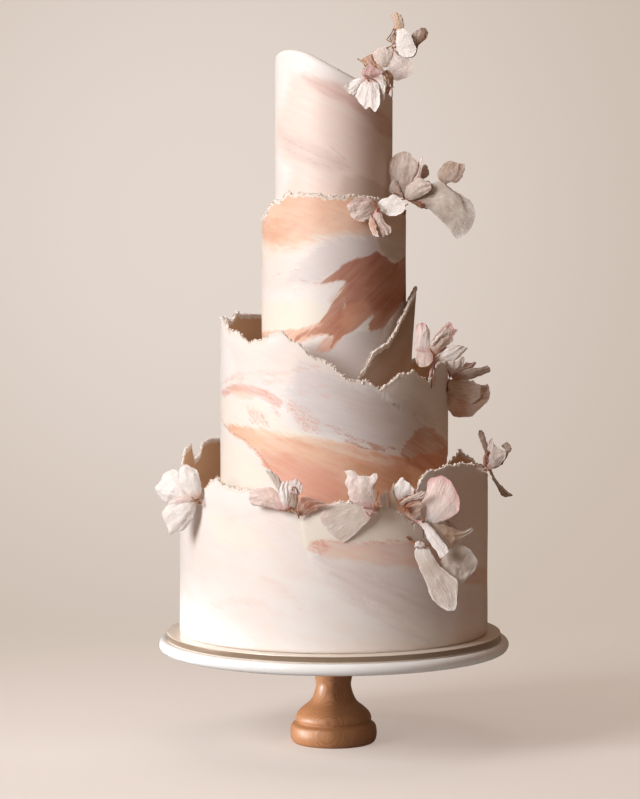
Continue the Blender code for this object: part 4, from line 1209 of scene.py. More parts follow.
BLOSSOMS = (
    Blossom("crown_blossom", -57.0, 619.0, 58.3, (
        Petal("366,77 361,74 362,70 365,67 362,62 358,59", "361,60 366,57 370,54.5",
              "372,76 378,72 378,66 374,60 372,54", "RHH", 2, 5),
        Petal("366,77 362,75 361,71 364,67", "368,65 373,66 378,69", "370,77.5 376,76.5 381,75 383,72", "RPD", 4, 8),
        Petal("366,77 362,78 356,79 350,80 346,84", "344,87 345.5,90 347,93 351,94.5",
              "364,83 361,86 358,90 354,95.5", "PWW", 6, 3, 5),
        Petal("379,88 378.5,95 379,101", "380,102.5", "381,88 383,94 382.5,101", "RST", 3, 4),
        Petal("371,78 376,81 379,86 380.5,92 381.5,99", "381.8,102 383,103",
              "376,76.5 381,77 384.5,82 386,87 385,93 384.8,100", "RWB", 5, 8, 4),
        Petal("366,78 361,83 358,89 356,94 355,97",
              "358,101 361,104.5 364,108 366.5,109.5 369.5,106.5 372,110 374.5,112 377,109.5",
              "371,78.5 376,82 379,88 380,95 380,104", "PWW", 6, 13, 8, 2.5, 1.2),
        Petal("375,65 380,71 383,77 386,85", "387,89", "378,64 384,70 388,76 390,82 389.5,87", "HNH", 4, 3),
        Petal("385,71 388,76 390,83 391.5,86.5", "393,87.8", "387,69.5 391,73 393.5,79 393,85 394,88.3", "RHR",
              0, -6),
        Petal("386,87 386,91", "386.5,93.5", "391,86.5 390,90 388.5,94", "RHR", 0, -3),
    ), stems=(((0, 0, 0), (1.2, 0.5, -8), (3, -0.2, -17)),),
        twigs=(((358, 59, 5), (362, 62, 4), (366, 66.5, 5)), ((366, 78, 7), (371, 78.5, 8), (376, 82, 8)),
               ((364, 76, 6), (366.5, 78.5, 8), (368.5, 81, 9)))),
    Blossom("crown_spray", -27.0, 615.0, 58.3, (
        Petal("380,68 375,64 371,60 369.5,56", "371,53.5 376,50 381,47 385,46.5", "387,67 391,62 392,56 391,50",
              "STD", 3, 0, 6),
        Petal("388,68 391,61 395,56 400,55", "405,57.5 409.5,59 412,64 412.5,69 411.5,73",
              "392.5,80 398,80.3 404,78.5 409,75.5", "TLG", 4, 8, 8, 2, 1, 0.94),
        Petal("389.5,51 389,55 389.8,59", "390.3,60.2", "392,51 391.8,55 391,59.5", "WWW", 3, 3),
        Petal("394,30 391,35 389,39", "390,41 392,41.5", "395,34 394.5,38 394,41.5", "TTS", 1, 1),
        Petal("395,31 393.8,27 393,22 392,18 390.8,14.5", "393,12.9 396,12.5 399,13.4",
              "403,30 404.3,26 403.5,21 401,15.5", "HNN", 3, -1, 2, 1.5, 1.3),
        Petal("395,40 395.2,34 397,30 403,28.3", "408,32 412,39 415.5,46 416,51",
              "395,46 396,51 400,55.5 405,57 411,57.3 414,55", "BWW", 3, 9, 7, 3),
        Petal("413,48 412,43 411,39 411.5,36", "413,33 416,30.5 419,29.5 421.5,28 424,27.8 426,29",
              "417,48 418,45.5 421,42.5 425,38.5 427.5,33", "ZSZ", 2, -2, -1),
    ), stems=(((0, 0, 0), (1.4, 0.6, -9), (1.2, 1, -16)),),
        twigs=(((388, 81, 2), (391, 72, 3), (390.5, 63, 3), (392.5, 55, 3), (393.5, 48, 4)),
               ((393.5, 29, 4), (391, 34, 3), (388, 38, 3), (387, 40, 3), (391, 42, 4), (394, 44, 5)),
               ((386.8, 48, 4), (391, 46, 5), (394, 43, 6)), ((392, 48, 4), (395, 51, 7), (398.5, 55, 8)),
               ((394, 29, 4), (395.3, 33, 5), (395, 38, 5), (393.8, 43, 5)),
               ((427.8, 32.5, -1), (426, 38, 0), (422, 41.5, 1), (418.3, 45, 3), (417, 49, 5), (415.5, 54, 6),
                (412.5, 57, 6), (409, 57.3, 6), (405.5, 56.5, 7))), anthers=3),
    Blossom("upper_blossom", -17.0, 502.5, 71.2, (
        Petal("399,197 394,190 391,181 389.5,172 389.5,165",
              "391.5,159 396,154.5 401,152.3 406,151.8 410,153 412,157 416,160.5",
              "405,198 410,188 413,180 417,172 418,165", "ZTS", 2, 8, 6, 3, 1.4),
        Petal("408,187 412,179 416,170 418,162 420,157.5", "422.5,155.8", "417,186 421,176 422.5,168 423.5,160",
              "DBW", 5, 10, 3, 2, 1.2),
        Petal("419,180 421,172 423,167", "425,164.5 428,168 429,172", "422,180 426,177.5 428.5,175", "SDT", 2, 1),
        Petal("404,196 406,188 410,182 416,177 421,178 426,180.5", "430,183 431.3,187",
              "408,200 414,199.5 420,197 426,193.5 430.5,190", "STD", 4, 10, 1, 3, 1.6),
        Petal("400,198 395,195 391,193.5 389,190", "390,185 392,181", "403,197 401,191 399,185 396,180", "ZDT",
              5, 7, 1, 2, 1.3),
        Petal("443,183 438.5,179 437.5,174 440,168 443,164.5 447,162", "452,160.5 456,162 460,163.5 463,163.5",
              "445.5,184 451,182.5 457,182.5 461,179 464,173 465,165", "ZSS", 2, 7, 4, 2),
        Petal("424,196 429,189 433,183 440,181 446,185 450,190 455,191",
              "460,194 467,198 471.5,202 474,208 475.3,215 474,222 470.5,229 464.5,234.5",
              "421,207.5 428,208.5 434,213.5 441,220.5 448,227.5 453,235 457,239.5", "SGW", 3, 4, 8, 4, 1.5, 0.82),
        Petal("407,199 414,199.5 422,196 428,190 428,184 426,180.5", "430,182 433,189",
              "408,201.5 414,204 420,208 427,208.5 434,206", "ZSZ", 2, 3, 0, 1, 1.4),
        Petal("377.5,205 379,201 383,198.5 388,197.5 390,195",
              "395,195.5 400,198.5 403.5,201.5 404.8,206 403.5,211.5", "378.5,209 383,213 388,215 394,216 400,214",
              "WWW", 38, 42, 6, 1),
    ), stems=(((0, 0, 0), (-3.5, 1, -2.5), (-7.5, 2.2, -9)),),
        twigs=(((404, 198, 3), (412, 202, 5), (418, 205, 6), (421, 206, 5)), ((415, 201, 5), (419, 202, 6), (422,
                205, 5)),
               ((405, 199, 4), (399, 195, 6), (394, 193, 7)), ((441, 181, 0), (444, 184, 0), (446, 184, 1)),
               ((404, 199, 3), (392, 203, 22), (384, 205, 32), (377, 205, 37)))),
    Blossom("upper_bud", -56.0, 499.5, 71.2, (
        Petal("376,206 373,201 368,197.5 361,197.5 355,199 350,202", "347.5,206 348.5,210 351,216 356,220.5",
              "378,213 374,214.5 371,216 368,219.5 363,222", "RDB", 3, 10, 2, 2, 1.3),
        Petal("372,209 371.5,216 374,224 377,231 379,235.5", "381,237.7 385,235.5 389,234.5",
              "378,209 381.5,213 383,219.5 387,224 391,227.5 391.5,231.5", "PDT", 4, 7, 0, 2, 1.3),
        Petal("370.5,216 369,222 370,229 373,235", "376,236.5", "371.5,216 375,222 377,229 379,236.5", "HHW",
              8, 12, 2, 1),
    ), twigs=(((374, 202, 5), (377, 206, 6), (378, 211, 6)), ((376, 204, 6), (379, 207, 7)))),
    Blossom("side_blossom", -34.0, 361.0, 109.6, (
        Petal("424,351 418,352 416,357 416.5,363", "419,366 424,367 429,365.5", "431,351 432.5,355 433,358 432,362",
              "PDD", 2, 6),
        Petal("421,352 415,350 414.5,343 417,335 416,329 417,325", "419.5,323.5 424,323",
              "430,353 430,345 430,338 430,332 427.5,327", "PLP", 3, 1, 1, 2, 1.3),
        Petal("429,349 431,341 436,334 442,328 446,323.5", "449,322 452,325 454,329 458,329",
              "434,357 440,352 446,346 449,344.5 453,341 452,338 455,334 456.5,331.5", "RSP", 3, 4, 1, 2, 1.4),
        Petal("431,345 436,338 443,331", "445.5,327.5", "433,345 438,339 444.5,331.5 447,326", "BWW", 6, 8, 1, 1),
        Petal("434,357 439,352 446,347.5 452,346 457,345", "462,345.5 465,346.5",
              "437,360 443,361.5 450,361 456,360 460,357 463,353 468,348", "RWT", 3, 1, -1, 2),
        Petal("433,359 431,366 429.5,373", "429,378", "436,359 434.5,367 432.5,374 430,380", "PPL", 1, 0),
    ), stems=(((0, 0, 0), (-1.5, 1, -10), (-3.5, 1.6, -26)), ((0, 0, 0), (0.5, 0.5, -12), (-0.5, 1.0, -24))),
        twigs=(((430, 349, 4), (433, 354, 5), (434.5, 358, 5)), ((446, 347, 3), (440, 351, 5), (435, 356, 6)))),
    Blossom("side_bud", -11.0, 341.0, 109.6, (
        Petal("448,380 460,381 472,382 482,385 487.5,384", "489.5,389 490,395 488,401 482,406.5",
              "447,395 447.5,408 450,412 454,416.5 462,417 472,416 476,412", "NHT", 0, -2, 6, 3, 1, 0.9),
        Petal("446,386 448,380 452,379 459,380 466,380.5 473,380", "477,384 481,386 480.5,392 480,397 476,400.5",
              "446.5,393 452,395 458,397.5 464,400 468,402.5 471.5,404", "RNT", 3, 3, 0, 2),
        Petal("452,376 457,370 463,366 466,362", "471,363 475,362", "454,377 459,373.5 466,369.5 472,368 476.5,363",
              "RDP", 2, 1),
        Petal("451,377 457,373 465,369.5 472,368 480,368 485,366.5", "488,366 490,368.5",
              "453,380 460,380 466,380.5 473,379 478,376.5 484,374.5 490.5,371.5", "RST", 4, 1),
        Petal("449,377 447,370 444.5,364 445,361", "449,359 453,361 458,361 463,356",
              "452,376 456,371 461,368 464,364 465,358", "PLD", 3, 5, 1, 2, 1.6),
    ), twigs=(((450, 376, 4), (448, 382, 4), (446.5, 390, 3)), ((444.5, 362, 3), (448, 370, 4), (450.5, 377, 5)))),
    Blossom("right_blossom", -12.0, 259.5, 147.8, (
        Petal("485,455 483,447 480,440 478.5,435 479,432", "480.5,430.2 482.5,430.5",
              "487,453 487.5,445 486,440 484,433", "ZSZ", 0, 2, 0, 1),
        Petal("500.5,464 503,459 506,456 506,451 504.5,449 502,447", "501.5,445.5 504,443 507.5,442",
              "502,465 506,458.5 509,453 511.5,449 510,445", "ZSZ", 0, -2, 0, 1),
        Petal("484,466 486.5,458 486.5,452 488,446 489,441",
              "490.5,438.5 493,438.5 494,443 498,448 502,449.5 505,451.5",
              "487,469 492,469 498,466.5 501,463 504,459 506,455", "RLL", 3, 6, 2, 3, 1.3),
        Petal("483,466 483,460 484,455", "486,452", "486,467 487.5,460 488,454", "RRP", 5, 5),
        Petal("487,468 490,474 493,480 497,487 500,493 502,496", "506,497 509.5,496.5",
              "491,468.5 494,476 499,483 505,489 510,493 513,495.5", "ZSZ", 1, 4, 0, 1),
        Petal("484,468 480,468 477.5,466", "477,464.5", "485,465 482,464 479,463.5", "RBW", 2, 8),
        Petal("484,468 482,473 483,478", "484.5,479", "487,469 487,475 486,478", "RRS", 1, 3),
    ), twigs=(((484, 467, 4), (487, 460, 7), (488, 453, 6)), ((486, 470, 3), (489, 471, 4), (492, 474, 3)),
              ((487, 468, 3), (495, 468, 2), (501, 464.5, 0)))),
    Blossom("left_blossom", -151.0, 232.5, 147.8, (
        Petal("192,498 184,489 179,481 177.5,472 174,469.5",
              "168,471 163,475 161,480 158.5,484 155,487 157,493 160,498",
              "190,501 184,500 178,501.5 173,503 168,503.5 163.5,500.5", "BWW", 13, 0, -3, 3, 1.4),
        Petal("196,499 188,494 182,488 179,480 178,472", "181,467.5 185,464.5 189,466 193,468 197,470",
              "200,497 201.5,491 201,484 200,479 199,474", "HWW", 15, 10, 2, 3, 1.6),
        Petal("193,500 184,501 176,502.5 169,504 165,508",
              "162,513 163.5,520 166,523 168,529 168,534 170.5,535 175,532.5 180,531.5",
              "197,502 196,510 193,518 188,526 182,531", "NWW", 15, 9, 2, 3, 1.6),
        Petal("193,499 186,495 178,496 171,500", "168,504", "195,501 188,502 180,504 174,507 170,506", "NBW",
              17, 10, 1, 1, 1.2),
    ), twigs=(((191, 500, 17), (195, 500, 18), (198, 502, 18), (200, 503, 17)), ((196, 500, 18), (200, 499, 17),
            (202, 497, 16)))),
    Blossom("front_left_blossom", -107.0, 229.5, 147.8, (
        Petal("280,493 275,486 270,478 265,470", "269,469.5 275,473", "284,493 283,487 281.5,482 280,479", "BGW",
              0, -4, 1, 1, 1, 0.8),
        Petal("286,507 282,498 277,491 270,487 262,488 256,489", "251,493 249,498 250,503",
              "284,510 278,509.5 270,507.5 262,506.5 254,506", "PDB", 4, -6, 2, 2, 2.0),
        Petal("284,509 280,500 278,490 281,483", "284,481 288,481", "289,508 290.5,500 290.5,492 291,483", "PWB",
              5, 5, 2, 2, 1.6),
        Petal("298,509 298,504 300,498 306,497 314,499.5", "322,502 330,504",
              "299,516 306,514 312,510.5 318,508 326,506", "ZRD", 5, 8, -1, 1, 1.5),
        Petal("289,509 290,500 290.5,493 291.5,490", "295,491", "296,510 298,502 299,497 298,493", "ZSZ", 6, 6, 0, 1),
        Petal("289.5,493 289.5,487 288.5,483 290,480", "294,478.5 299,479.5 302,483",
              "297,494.5 300,494.5 302,492 303,487", "PWP", 7, 9, 2, 2, 1.3),
    ), twigs=(((280, 510, 5), (286, 511, 6), (290, 509, 7)), ((292, 490, 9), (293, 487, 10), (296, 488, 10), (298,
            494, 9)),
              ((296, 511, 7), (298, 515, 7), (299, 518, 6)), ((291, 508, 7), (295, 511, 8), (299, 512, 8)))),
    Blossom("front_blossom", -76.5, 232.0, 147.8, (
        Petal("364,507 353,502.5 348.5,496 348,489 345,483 347,476 343.5,471",
              "349,470 355,471.5 358,475.5 364,475.5 370,476.5 373,473.5",
              "375,506 376.5,501 376,496 374,490 375.5,483 377,478 376.5,473", "PBW", 3, 2, 6, 3, 1.8, 0.90),
        Petal("374,507 366,506.5 356,504.5 346,503 337,503.5 329,506", "322,511 320,517 323,525 329,532 337,538.5",
              "373,513 369,520 363,526 357,532 350,538 344,542.5", "PCB", 2.5, 1.4, 1, 0.6, 0.6, 0.72),
        Petal("372,505 372,503", "375,501.5 378.5,503", "374,513 378,513.5 380,507", "RRZ", 5, 5),
    ), twigs=(((364, 508, 8), (370, 509, 8), (374, 508, 7)), ((366, 512, 8), (370, 516, 8), (372, 513, 7)),
              ((376, 500, 4), (377, 496, 4), (378, 492, 3)))),
    Blossom("front_cup", -64.5, 231.5, 147.8, (
        Petal("388,508 388,498 390,492 392.5,488", "394,483", "397,508 398,500 396.5,493 396,487", "SNN", 0, -1),
        Petal("381,508 379.5,499 380,495", "383,492.5", "386.5,508 387,499 387,490", "BWW", 2, 2, 1),
        Petal("398,500 395,494 394,487 396,483.5", "399,480 402,477.5 405,480 409,483",
              "403,499 408,495.5 413,494 414,489", "DWW", 2, 3, 5, 2, 1.3),
        Petal("400,506 407,502 414,500 420,500", "421,505 420.5,510", "402,511 406,515 411,518.5 416,518 420,515",
              "ZRN", 4, 6),
        Petal("399,504 406,498 413,495 419,492", "423,491 427,492", "402,507 409,501.5 417,499 424,497.5 427.5,494",
              "ZDT", 6, 9, 0, 1),
    ), twigs=(((399, 505, 5), (403, 507, 8), (406, 509, 9)), ((403, 511, 5), (408, 508, 9), (412, 507, 9)),
              ((404, 508, 7), (409, 505, 10), (414, 503, 10))), anthers=10),
    Blossom("front_bloom", -59.0, 217.5, 150.8, (
        Petal("447,520 451,522 455,526", "458,529", "445,525 450,528 455,530 459,531", "SST", 0, -10),
        Petal("431,521 438,522.5 446,525.5 454,528.5 462,531.5 468,529", "473,528",
              "433,527 441,535 448,545 452,549 458,543.5 465,538 471,533", "SNW", 4, -8, 0, 2, 1.3),
        Petal("424,521 422,514 421,505 424,498 427,490 427,483",
              "430,479 436,477 441,476 447,478 452,484 456,491 459.5,500",
              "436,523.5 443,520.5 450,517.5 456,514 459.5,509", "WBP", 4, 6, 8, 3, 1.0),
        Petal("414,521 420,525 424,530 427,538 432,546 437,552 440,558.5", "444,556 448,551",
              "419,517 426,522 433,529 440,538 445,544 447.5,548", "PWW", 6, 12, 4, 2, 0.9),
    ), stems=(((0, 0, 0), (0.3, 1.5, -4), (0.6, 4, -12)),),
        twigs=(((409, 519, 2), (414, 521, 5), (419, 520, 7), (424, 520, 7)), ((412, 524, 4), (416, 522, 6), (420,
                522, 7)))),
    Blossom("front_fall", -59.6, 199.5, 147.8, (
        Petal("441,559 446,553 452,547.5 458,545 464,546", "470,549.5 475,556 478,562 476,568 472,574",
              "440,565 446,571 451,576 456,581 459,585.5 468,578", "SGW", 2, -4, 6, 3, 1.4, 0.86),
        Petal("416,548 414.5,555 418,563 421,572 426,582 429,592 432,599",
              "438,605 445,609.5 452,610.5 456,608.5 457,600",
              "428,547 433,556 439,565 446,571 452,576 457,580 457.5,590", "WTW", 3, 11, 4, 3, 1.0, 0.88),
        Petal("414,547 416,541.5", "420,541", "419,548 424,547 424.5,543", "BWB", 5, 6),
    ), twigs=(((405, 536.5, 0), (409, 540, 1), (413, 543.5, 3), (418, 545, 4)), ((407, 536, 0), (412, 541, 2), (417,
            545, 4)),
              ((424, 543, 5), (427, 546, 5), (430, 545, 4)), ((420, 542, 6), (422, 545, 6), (425, 548, 5)))),
)


class Florist:
    """Builds the blossoms: thin crumpled petals, their stems, twigs and hearts."""

    rows = 34
    columns = 23
    thickness = 0.26 * MM

    def __init__(self, paper: bpy.types.Material, bark: bpy.types.Material, tuft: bpy.types.NodeTree) -> None:
        """Keeps the finishes and the tree that grows stems and anthers."""
        self.paper, self.bark, self.tuft, self.sight = paper, bark, tuft, Sight()

    def chart(self, petal: Petal, seed: int) -> np.ndarray:
        """Fills a petal's traced outline with a grid of places, its edges a little ragged."""
        left, tip, right = traced(petal.left), traced(petal.tip), traced(petal.right)
        tip = smooth_run((left[-1], *tip, right[-1]), self.columns)
        foot = smooth_run((left[0], right[0]), self.columns)
        left, right = smooth_run(left, self.rows), smooth_run(right, self.rows)
        for edge, place in ((left, 1.0), (right, 5.0), (tip, 9.0)):
            for step in range(1, len(edge) - 1):
                spot = Vector((edge[step, 0], edge[step, 1], 3.0 * (seed + place)))
                for grain, reach in ((3.4, 0.75), (1.5, 0.45)):
                    edge[step] += (reach * noise.noise(spot / grain), reach * noise.noise(-spot / grain))
        t = np.linspace(0.0, 1.0, self.rows)[:, None, None]
        s = np.linspace(0.0, 1.0, self.columns)[None, :, None]
        sides = (1.0 - s) * left[:, None] + s * right[:, None]
        ends = (1.0 - t) * foot[None] + t * tip[None]
        corners = (1.0 - t) * ((1.0 - s) * foot[0] + s * foot[-1]) + t * ((1.0 - s) * tip[0] + s * tip[-1])
        return sides + ends - corners

    def petal(self, petal: Petal, heart: Vector, seed: int) -> bpy.types.Mesh:
        """Builds one petal as a closed thin solid.

        Args:
            petal: Its outline, depths and tints.
            heart: The middle of its blossom.
            seed: For its folds and ragged edge.

        Returns:
            The mesh.
        """
        places = self.chart(petal, seed)
        draw = random.Random(seed)
        wave, pleats = draw.uniform(0.0, math.tau), draw.uniform(2.2, 3.6)
        shift = Vector((seed * 1.7, seed * 0.9, seed * 2.3))
        size = min(1.0, float(np.ptp(places.reshape(-1, 2), axis=0).max()) / 26.0)
        sheet = np.zeros((self.rows, self.columns, 3))
        for row in range(self.rows):
            t = row / (self.rows - 1)
            for column in range(self.columns):
                s = 2.0 * column / (self.columns - 1) - 1.0
                across, down = places[row, column]
                spot = Vector((across, down, 0.0))
                near = petal.foot + (petal.reach - petal.foot) * t**1.2 + 0.5 * petal.tilt * s * t
                near += petal.belly * size * (1.0 - s * s) * math.sin(math.pi * min(1.0, t * 0.9 + 0.05))
                rough = petal.crumple * size * min(1.0, 0.35 + 1.2 * t)
                near += rough * 0.28 * math.sin(pleats * math.pi * s + wave + 1.5 * t) * t
                near += rough * 1.1 * (0.35 - abs(noise.noise(spot / 13.0 + shift)))
                crease = Vector((3.4 * s, 1.5 * t, 0.0)) * (1.0 + 2.0 * size) + shift
                near += rough * 0.55 * (0.3 - abs(noise.noise(crease)))
                near += rough * 0.30 * (0.3 - abs(noise.noise(2.1 * crease)))
                near += rough * 0.05 * noise.noise(spot / 1.8 - shift)
                near += rough * 1.0 * s * s * t * noise.noise(Vector((3.0 * t, 2.0 * s, seed)))
                point = self.sight.point(across, down, heart.y - near * MM)
                sheet[row, column] = pushed_out(point, 0.8 * MM)
        return self.shell(petal, sheet)

    def shell(self, petal: Petal, sheet: np.ndarray) -> bpy.types.Mesh:
        """Gives a petal's sheet its thickness, its map and its colours."""
        down = np.gradient(sheet, axis=0)
        over = np.gradient(sheet, axis=1)
        normal = np.cross(over, down)
        normal /= np.maximum(np.linalg.norm(normal, axis=2, keepdims=True), 1e-12)
        share = np.linspace(0.0, 1.0, self.rows)[:, None] * np.ones((1, self.columns))
        side = np.linspace(-1.0, 1.0, self.columns)[None, :] * np.ones((self.rows, 1))
        rim = np.clip(1.0 - np.minimum((1.0 - np.abs(side)) * 7.0, (1.0 - share) * 10.0), 0.0, 1.0)
        half = 0.5 * self.thickness * (1.0 - 0.4 * rim[..., None])
        grid = SheetMesh("petal", self.rows, 2 * self.columns, True, False)
        grid.points[:, : self.columns] = sheet + normal * half
        grid.points[:, self.columns :] = (sheet - normal * half)[:, ::-1]
        breadth = float(np.linalg.norm(sheet[:, -1] - sheet[:, 0], axis=1).max()) / (24.0 * MM)
        chart = np.stack([0.5 * side * breadth, share], axis=2)
        grid.chart[:-1, : self.columns] = chart
        grid.chart[:-1, self.columns : -1] = chart[:, ::-1]
        grid.chart[:-1, -1] = chart[:, 0]
        foot, body, tip = (np.array(PETAL_TINTS[letter].linear) for letter in petal.tints)
        early = np.clip(1.0 - share / 0.38, 0.0, 1.0)[..., None] ** 1.5
        # The third tint fills the tip and a band along the rim; where it is paler, it is partly the petal's own edge
        # and partly a painted highlight.
        late = np.clip(0.6 * rim + 0.5 * np.clip((share - 0.5) / 0.5, 0.0, 1.0) ** 1.5, 0.0, 1.0)[..., None]
        colour = body * (1.0 - late) + tip * late
        colour = colour * (1.0 - early) + foot * early
        grid.colours = np.concatenate([colour, colour[:, ::-1]], axis=1)
        solid = petal.solid + (1.0 - petal.solid) * np.maximum(0.7 * rim**2, early[..., 0])
        grid.number("solid")[:] = np.concatenate([solid, solid[:, ::-1]], axis=1)
        mesh = grid.mesh()
        work = bmesh.new()
        work.from_mesh(mesh)
        for end in (0, self.rows - 1):
            work.verts.ensure_lookup_table()
            first = end * 2 * self.columns
            last = first + 2 * self.columns - 1
            for step in range(self.columns - 1):
                corners = (first + step, first + step + 1, last - step - 1, last - step)
                work.faces.new([work.verts[corner] for corner in corners])
        bmesh.ops.recalc_face_normals(work, faces=work.faces)
        work.to_mesh(mesh)
        work.free()
        return mesh

    def joined(self, name: str, meshes: Sequence[bpy.types.Mesh]) -> bpy.types.Object:
        """Joins petals into one piece."""
        parts = []
        for mesh in meshes:
            part = bpy.data.objects.new("petal", mesh)
            bpy.context.scene.collection.objects.link(part)
            parts.append(part)
        with bpy.context.temp_override(active_object=parts[0], selected_editable_objects=parts,
                                       selected_objects=parts, object=parts[0]):
            bpy.ops.object.join()
        mesh = parts[0].data
        bpy.data.objects.remove(parts[0], do_unlink=True)
        return add_piece(name, mesh, self.paper, 70.0)

    def blossom(self, flower: Blossom, seed: int) -> None:
        """Builds a blossom with its stems, and hands the pieces over."""
        meshes = [self.petal(petal, flower.heart, seed * 100 + number) for number, petal in enumerate(flower.petals)]
        hand_over(self.joined(flower.name + "_petals", meshes), "petals", flower.name)
        lines = [[pushed_out(flower.heart + Vector(place) * MM,
                1.0 * MM) for place in route] for route in flower.stems]
        for route in flower.twigs:
            seen = [self.sight.point(across, down, flower.heart.y - near * MM) for across, down, near in route]
            lines.append([pushed_out(point, 1.0 * MM) for point in seen])
        draw = random.Random(seed + 90)
        root = flower.heart + Vector((0, -1.5 * MM, 0))
        if flower.twigs:
            across, down, near = flower.twigs[0][-1]
            root = self.sight.point(across, down, flower.heart.y - near * MM)
        for _ in range(flower.anthers):
            way = Vector((draw.uniform(-1, 1), draw.uniform(-1.0, -0.2), draw.uniform(-1, 1))).normalized()
            reach = draw.uniform(1.4, 3.2) * MM
            lines.append([root, root + way * (0.5 * reach), root + way * reach + Vector((0, 0, 0.4 * MM))])
        values = {"Thickness": 0.48 * MM, "Bead": 0.6 * MM, "Seed": seed}
        tuft = grown(flower.name + "_heart", self.tuft, line_mesh("heart", lines), values, self.bark)
        hand_over(tuft, "petals")


def tuft_tree() -> bpy.types.NodeTree:
    """Makes the Geometry Nodes tree that gives lines a round thickness and a bead on each end."""
    tree = bpy.data.node_groups.new("stems and anthers", "GeometryNodeTree")
    tree.interface.new_socket("Line", in_out="INPUT", socket_type="NodeSocketGeometry")
    for name, value in (("Thickness", 0.4 * MM), ("Bead", 0.8 * MM)):
        tree.interface.new_socket(name, in_out="INPUT", socket_type="NodeSocketFloat").default_value = value
    tree.interface.new_socket("Seed", in_out="INPUT", socket_type="NodeSocketInt")
    tree.interface.new_socket("Finish", in_out="INPUT", socket_type="NodeSocketMaterial")
    tree.interface.new_socket("Stems", in_out="OUTPUT", socket_type="NodeSocketGeometry")
    w = Wiring(tree)
    entry = w.node("NodeGroupInput").outputs
    curve = w.node("GeometryNodeMeshToCurve", {0: entry["Line"]}).outputs[0]
    smooth = w.node("GeometryNodeCurveSplineType", {0: curve}, spline_type="CATMULL_ROM").outputs[0]
    section = w.node("GeometryNodeCurvePrimitiveCircle", {"Resolution": 7, "Radius": entry["Thickness"]}).outputs[0]
    tube = w.node(
        "GeometryNodeCurveToMesh", {"Curve": smooth, "Profile Curve": section, "Fill Caps": True}
    ).outputs[0]
    ends = w.node("GeometryNodeCurveEndpointSelection", {"Start Size": 1, "End Size": 1}).outputs[0]
    bead = w.node("GeometryNodeMeshIcoSphere", {"Radius": entry["Bead"], "Subdivisions": 2}).outputs[0]
    sizes = w.node(
        "FunctionNodeRandomValue", {0: (0.6, 0.6, 0.8), 1: (1.2, 1.2, 1.6), "Seed": entry["Seed"]},
        data_type="FLOAT_VECTOR",
    ).outputs[0]
    beads = w.node(
        "GeometryNodeInstanceOnPoints", {"Points": curve, "Selection": ends, "Instance": bead, "Scale": sizes}
    ).outputs[0]
    joined = w.node("GeometryNodeJoinGeometry").inputs[0]
    w.tree.links.new(tube, joined)
    w.tree.links.new(beads, joined)
    real = w.node("GeometryNodeRealizeInstances", {0: joined.node.outputs[0]}).outputs[0]
    dressed = w.node("GeometryNodeSetMaterial", {"Geometry": real, "Material": entry["Finish"]}).outputs[0]
    w.node("NodeGroupOutput", {0: dressed})
    return tree


